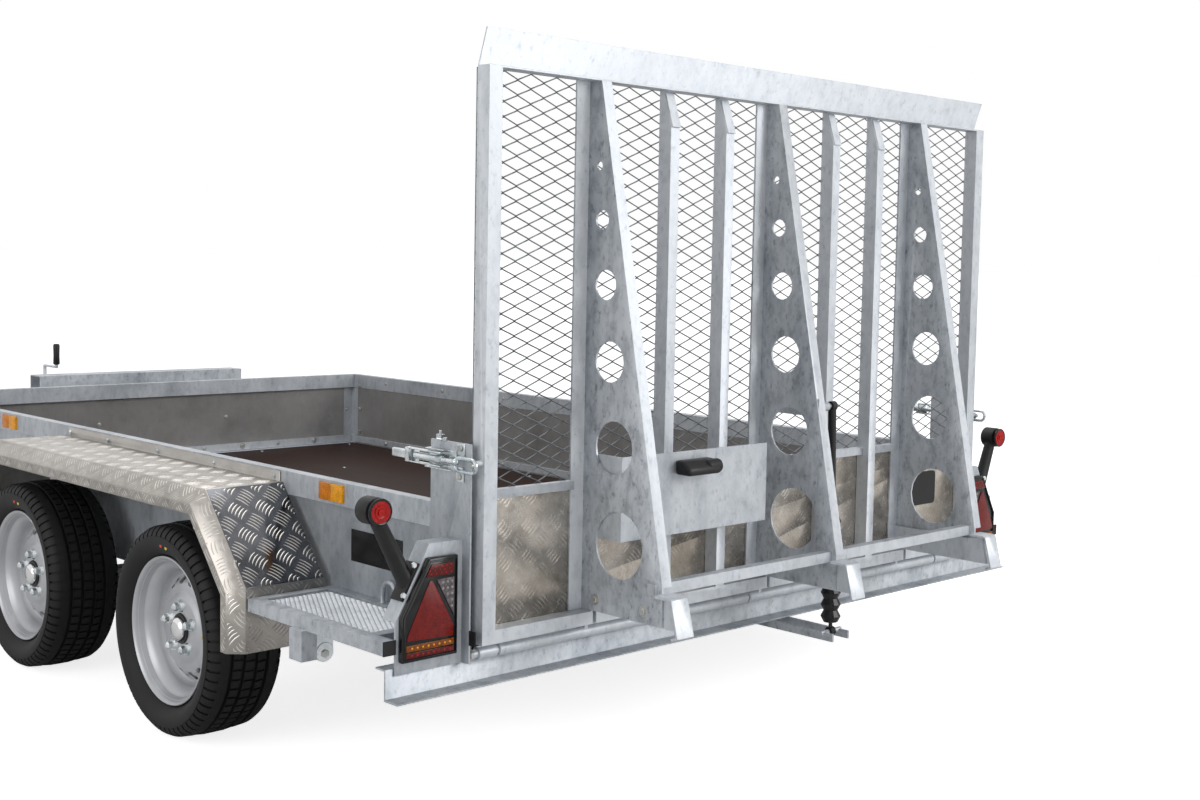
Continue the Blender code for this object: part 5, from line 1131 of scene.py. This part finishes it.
class TRAILER_OT_fixings(bpy.types.Operator):
    """Bolts, rivets, strips, caps, plates and other small fittings"""

    bl_idname = "trailer.fixings"
    bl_label = "Fixings"

    def execute(self, context):
        find = bpy.data.objects
        self.ramp_fixings(find)
        self.wall_fixings(find)
        self.small_fittings(find)
        return {"FINISHED"}

    def ramp_fixings(self, find):
        """Bolts of the left foot's arm, and the sleeves, pin and bolt of the hinge."""
        starts = [at(-0.674, y, 0.426) for y in (-0.013, -0.169)]
        put(bolts_on(find["ramp_ribs_dressed"], starts, 0.0085, 0.0060), "arm_bolts_ramp_ribs_dressed", "bolt",
            "ramp", "bright_zinc")
        low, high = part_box("hinge_tube")
        y, z = (low.y + high.y) / 2, (low.z + high.z) / 2
        radius = (high.z - low.z) / 2
        edge, bore = 0.0012, 0.0090
        sleeves = [spun([(bore, start), (radius - edge, start), (radius, start + edge), (radius, end - edge),
                         (radius - edge, end), (bore, end), (bore, start)], 32, (0, y, z))
                   for start, end in HINGE_SLEEVES]
        sleeves.append(bar((HINGE_END, y, z), (high.x, y, z), 0.0093, 24))
        put(smooth(joined(sleeves)), "hinge_sleeves", "tube", "chassis", "galvanised", "hinge_tube")
        put(smooth(bolt_head((HINGE_END, y, z), (-1, 0, 0), 0.0125, 0.0085)), "hinge_bolt", "bolt", "chassis",
            "bright_zinc")

    def wall_fixings(self, find):
        """Pale strips, corner angles and bolts inside the walls, and the guards' rivets."""
        face = hit(find["front_wall_dressed"], (0, 0, 0.5), (0, 1, 0)).y
        strips = [block((-0.884, face + y, z), (0.884, face + far_y, far_z), 0.0005, 1)
                  for y, far_y, z, far_z in ((-0.0018, 0.0004, 0.618, 0.644), (-0.0018, 0.0004, 0.362, 0.391),
                                             (-0.0260, -0.0014, 0.3585, 0.3608))]
        put(joined(strips), "front_wall_strips", "tube", "chassis", "galvanised")
        top, foot, between = 0.631, 0.377, 0.503
        big = ((top, (-0.482, -0.142, 0.195, 0.531)), (foot, (0.364, 0.701, -0.312, 0.025, -0.65)))
        small = ((top, (-0.312, 0.025, 0.364, 0.698)), (between, (-0.241, 0.290, 0.862)),
                 (foot, (0.195, 0.528, -0.142, -0.482)))
        for name, rows, radius in (("big", big, 0.0085), ("small", small, 0.0055)):
            heads = [part for z, places in rows for x in places
                     for part in wall_bolt((x, face, z), (0, -1, 0), radius)]
            put(smooth(joined(heads)), "front_wall_bolts_" + name, "bolt", "chassis", "bright_zinc")
        inner = hit(find["side_wall_left_dressed"], (0, -0.5, 0.5), (-1, 0, 0)).x
        start, end = -2.00, face - 0.002
        strips = [block((inner + x, y, z), (inner + far_x, far_y, far_z), 0.0005, 1)
                  for x, far_x, y, far_y, z, far_z in (
                      (-0.0004, 0.0018, start, end, 0.622, 0.642), (-0.0004, 0.0018, start, end, 0.362, 0.389),
                      (-0.0004, 0.0016, end - 0.045, end, 0.392, 0.620),
                      (0.0014, 0.040, end - 0.0008, end + 0.0022, 0.392, 0.620))]
        pair(joined(strips), "side_wall_SIDE_strips", "tube", "chassis", "galvanised")
        heads = []
        for i in range(8):
            y = RAMP_BACK + 2.984 - i * 0.4
            for z, radius in ((0.632, 0.0085 if i % 2 else 0.0055), (0.375, 0.0065)):
                heads += wall_bolt((inner, y, z), (1, 0, 0), radius)
        heads += [bolt_head((inner + 0.0014, RAMP_BACK + 3.178, z), (1, 0, 0), 0.0085, 0.006)
                  for z in (0.410, 0.508, 0.608)]
        pair(smooth(joined(heads)), "side_wall_SIDE_bolts", "bolt", "chassis", "bright_zinc")
        starts = [at(-1.0, y, 0.641) for y in (0.811, 1.109, 1.415, 1.716, 1.960)]
        pair(bolts_on(find["guard_left_plate"], starts, 0.0050, 0.0030, 12), "guard_SIDE_rivets", "zinc", "chassis",
             "bright_zinc")

    def small_fittings(self, find):
        """Black end caps, blank plates, the crank's grip and the steps' hangers."""
        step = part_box("step_left")[0].x
        face = hit(find["side_wall_left_dressed"], at(-1.2, 0.60, 0.51), (1, 0, 0)).x
        for name, finish, body, spans in (
                ("step_cap_SIDE", "plastic", "chassis",
                 ((step + 0.0105, step + 0.0415), (0.0472, 0.0510), (0.3715, 0.4025), 0.0008, 1)),
                ("rail_cap_SIDE", "plastic", "ramp",
                 ((-0.9185, -0.9155), (0.0005, 0.0225), (0.3680, 0.4000), 0.0006, 1)),
                ("blank_plate_SIDE", "gloss", "chassis",
                 ((face - 0.0016, face + 0.0004), (0.300, 0.505), (0.474, 0.549), 0.0006, 1))):
            pair(slab(*spans), name, finish, body, "black_plastic")
        face = hit(find["ramp_plates_sheet"], at(0.70, -0.2, 0.58), (0, 1, 0)).y
        foot_x, foot_z, width, height, round_off = 0.660, 0.506, 0.110, 0.095, 0.012
        corners = ((round_off, round_off, -math.pi), (width - round_off, round_off, -math.pi / 2),
                   (width - round_off, height - round_off, 0), (round_off, height - round_off, math.pi / 2))
        outline = [(foot_x + u, foot_z + v) for x, z, turn in corners
                   for u, v in arc((x, z), round_off, turn, math.pi / 2, 4)]
        put(outline_piece(outline, face - 0.0022, face - 0.0012), "blank_label", "gloss", "ramp", "black_plastic")
        low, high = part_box("jockey_tube")
        grip = spun([(radius, high.z + z) for radius, z in (
            (0.0004, 0.004), (0.0100, 0.003), (0.0125, -0.004), (0.0115, -0.040), (0.0125, -0.076),
            (0.0100, -0.080), (0.0072, -0.080))], 24, (-0.235, low.y + 0.007, 0), "Z")
        put(smooth(grip), "crank_grip", "plastic", "chassis", "black_plastic")
        x = -1.046
        hanger = [slab((x - 0.022, x + 0.022), (0.374, 0.378), (0.300, 0.372), 0.0008, 1),
                  bar(at(x, 0.372, 0.308), at(x, 0.380, 0.308), 0.022, 24, bevel=0.0008)]
        pair(smooth(joined(hanger)), "step_hanger_SIDE", "zinc", "chassis", "bright_zinc")
        pair(smooth(bolt_head(at(x, 0.374, 0.305), (0, -1, 0), 0.0095, 0.007)), "hanger_bolt_SIDE", "bolt",
             "chassis", "bright_zinc")
        pair(slab((-1.060, -1.030), (0.384, 0.470), (0.312, 0.368), 0.004), "hanger_block_SIDE", "rubber",
             "chassis", "rubber")


class TRAILER_OT_dark_pieces(bpy.types.Operator):
    """Black rubber and plastic: strut, bellows and jockey wheel"""

    bl_idname = "trailer.dark_pieces"
    bl_label = "Dark Pieces"

    def execute(self, context):
        for name, finish in (("spring_rod", "shine"), ("spring_barrel", "plastic"),
                             ("overrun_bellows", "rubber"), ("jockey_wheel", "tyre")):
            paint_node(name, finish)
        return {"FINISHED"}


# Stage

class TRAILER_OT_stage(bpy.types.Operator):
    """Pale floor, soft lights, white world and the camera"""

    bl_idname = "trailer.stage"
    bl_label = "Stage"

    def execute(self, context):
        self.floor()
        self.world(context)
        self.lights(context)
        self.camera(context)
        context.scene.view_settings.view_transform = "Standard"
        return {"FINISHED"}

    def floor(self):
        """A plain floor that looks white to the camera and keeps the shadow."""
        deselect()
        bpy.ops.mesh.primitive_plane_add(size=400, location=(0, 0, -0.0005))
        floor = bpy.context.object
        floor.name = "studio_floor"
        finish, tree, shader, _ = new_finish("Studio floor", (0.90, 0.90, 0.90), 0.9)
        path = node(tree, "LightPath", {}, {})
        shader.inputs["Emission Color"].default_value = (1, 1, 1, 1)
        feed(tree, maths(tree, "MULTIPLY", path.outputs["Is Camera Ray"], 0.80), shader, "Emission Strength")
        floor.data.materials.append(finish)

    def world(self, context):
        """A white background to the camera and in reflections, and a plain soft light."""
        world = bpy.data.worlds.new("Studio")
        context.scene.world = world
        world.use_nodes = True
        tree = world.node_tree
        tree.nodes.clear()
        rays = node(tree, "LightPath", {}, {}).outputs
        seen = maths(tree, "MAXIMUM", rays["Is Glossy Ray"], rays["Is Transmission Ray"])
        seen = maths(tree, "MAXIMUM", rays["Is Camera Ray"], seen)
        strength = maths(tree, "MULTIPLY_ADD", seen, 1 - SOFT_LIGHT, SOFT_LIGHT)
        light = node(tree, "Background", {}, {"Color": (1, 1, 1, 1), "Strength": strength})
        node(tree, "OutputWorld", {}, {"Surface": light.outputs[0]})

    def lights(self, context):
        """Three soft boxes: from behind on the right, from the left, and from above."""
        aim = Vector((0, -1, 0.6))
        for name, place, size, power in (("key_box", (2.6, -8.2, 3.6), 4.5, 270),
                                         ("fill_box", (-8.0, -1.5, 3.0), 5.0, 150),
                                         ("top_box", (0.0, 1.0, 7.0), 5.0, 150)):
            light = bpy.data.lights.new(name, "AREA")
            light.shape = "DISK"
            light.size = size
            light.energy = power
            lamp = bpy.data.objects.new(name, light)
            lamp.matrix_world = Matrix.Translation(place) @ turn_to(Vector(place) - aim)
            context.scene.collection.objects.link(lamp)

    def camera(self, context):
        """The photograph's viewing angle, from behind the left rear corner."""
        looks = context.scene.trailer_looks
        camera = bpy.data.cameras.new("photo_camera")
        camera.lens = looks.lens
        camera.shift_x, camera.shift_y = looks.shift
        holder = bpy.data.objects.new("photo_camera", camera)
        yaw, pitch, roll = looks.camera_turn
        turn = (Matrix.Rotation(yaw, 4, "Z") @ Matrix.Rotation(math.pi / 2 - pitch, 4, "X")
                @ Matrix.Rotation(-roll, 4, "Z"))
        holder.matrix_world = Matrix.Translation(Vector(looks.camera_place)) @ turn
        context.scene.collection.objects.link(holder)
        context.scene.camera = holder


class TrailerLooks(bpy.types.PropertyGroup):
    """Sizes and colours of the trailer that a user would change"""

    zinc_light: bpy.props.FloatVectorProperty(
        name="Light Zinc", description="Colour of the paler zinc", subtype="COLOR", size=3,
        default=(0.60, 0.625, 0.65), min=0, max=1)
    zinc_dark: bpy.props.FloatVectorProperty(
        name="Dark Zinc", description="Colour of the zinc's darker blotches", subtype="COLOR", size=3,
        default=(0.36, 0.39, 0.42), min=0, max=1)
    wheel_colour: bpy.props.FloatVectorProperty(
        name="Wheel", description="Colour of the wheels' paint", subtype="COLOR", size=3,
        default=(0.50, 0.51, 0.53), min=0, max=1)
    floor_colour: bpy.props.FloatVectorProperty(
        name="Floor", description="Colour of the floor's film", subtype="COLOR", size=3,
        default=(0.022, 0.0115, 0.0085), min=0, max=1)
    tread_colour: bpy.props.FloatVectorProperty(
        name="Tread", description="Colour of the tread plate", subtype="COLOR", size=3,
        default=(0.45, 0.425, 0.395), min=0, max=1)
    edge_round: bpy.props.FloatProperty(
        name="Edge Round", description="Rounding of folded sheet edges", default=0.0009, unit="LENGTH")
    tread_pitch: bpy.props.FloatProperty(
        name="Tread Pitch", description="Size of one group of tread bars", default=0.050, unit="LENGTH")
    mesh_width: bpy.props.FloatProperty(
        name="Mesh Width", description="Width of one diamond of the ramp's mesh", default=0.071, unit="LENGTH")
    mesh_height: bpy.props.FloatProperty(
        name="Mesh Height", description="Height of one diamond of the ramp's mesh", default=0.032, unit="LENGTH")
    strand: bpy.props.FloatProperty(
        name="Strand", description="Thickness of the mesh's strands", default=0.0046, unit="LENGTH")
    step_mesh_length: bpy.props.FloatProperty(
        name="Step Mesh Length", description="Length of one diamond of the steps' mesh", default=0.0215,
        unit="LENGTH")
    step_mesh_width: bpy.props.FloatProperty(
        name="Step Mesh Width", description="Width of one diamond of the steps' mesh", default=0.0115,
        unit="LENGTH")
    step_strand: bpy.props.FloatProperty(
        name="Step Strand", description="Thickness of the steps' mesh", default=0.0042, unit="LENGTH")
    groove_depth: bpy.props.FloatProperty(
        name="Groove Depth", description="Depth of the tyres' grooves", default=0.0075, unit="LENGTH")
    bolt_circle: bpy.props.FloatProperty(
        name="Bolt Circle", description="Radius of the wheel bolts' circle", default=0.056, unit="LENGTH")
    tyre_steps: bpy.props.IntProperty(
        name="Tyre Steps", description="Sections round a tyre", default=256, min=32)
    rim_steps: bpy.props.IntProperty(
        name="Rim Steps", description="Sections round a rim", default=96, min=24)
    vent_count: bpy.props.IntProperty(
        name="Vents", description="Vents round a wheel's disc", default=16, min=4)
    bolt_count: bpy.props.IntProperty(
        name="Bolts", description="Bolts of a wheel", default=5, min=3)
    lens: bpy.props.FloatProperty(
        name="Lens", description="Focal length of the camera in millimetres", default=46.37)
    shift: bpy.props.FloatVectorProperty(
        name="Shift", description="Shift of the camera's picture", size=2, default=(-0.1036, -0.0282))
    camera_place: bpy.props.FloatVectorProperty(
        name="Camera Place", description="Where the camera stands", size=3, subtype="TRANSLATION",
        default=(-2.900, -4.685, 1.197))
    camera_turn: bpy.props.FloatVectorProperty(
        name="Camera Turn", description="Yaw, pitch and roll of the camera", size=3,
        default=(-0.814, 0.069, -0.024))


OPERATORS = (
    TRAILER_OT_galvanised_body, TRAILER_OT_floor, TRAILER_OT_ramp_mesh, TRAILER_OT_tread_plates,
    TRAILER_OT_tyres, TRAILER_OT_rims, TRAILER_OT_tail_lamps, TRAILER_OT_small_lamps, TRAILER_OT_latches,
    TRAILER_OT_dark_pieces, TRAILER_OT_fixings, TRAILER_OT_stage,
)


class TRAILER_PT_panel(bpy.types.Panel):
    """The trailer's looks and pieces"""

    bl_idname = "TRAILER_PT_panel"
    bl_label = "Machine Trailer"
    bl_space_type = "VIEW_3D"
    bl_region_type = "UI"
    bl_category = "Trailer"

    def draw(self, context):
        looks = context.scene.trailer_looks
        for name in TrailerLooks.__annotations__:
            self.layout.prop(looks, name)
        for operator in OPERATORS:
            self.layout.operator(operator.bl_idname)


CLASSES = (TrailerLooks, *OPERATORS, TRAILER_PT_panel)


def register():
    """Register the classes and the looks."""
    for item in CLASSES:
        bpy.utils.register_class(item)
    bpy.types.Scene.trailer_looks = bpy.props.PointerProperty(type=TrailerLooks)


def unregister():
    """Remove the looks and the classes."""
    del bpy.types.Scene.trailer_looks
    for item in reversed(CLASSES):
        bpy.utils.unregister_class(item)


def main():
    """Model and paint everything."""
    register()
    FINISHES.update(all_finishes(bpy.context.scene.trailer_looks))
    for operator in OPERATORS:
        area, name = operator.bl_idname.split(".")
        getattr(getattr(bpy.ops, area), name)()


if __name__ == "__main__":
    main()
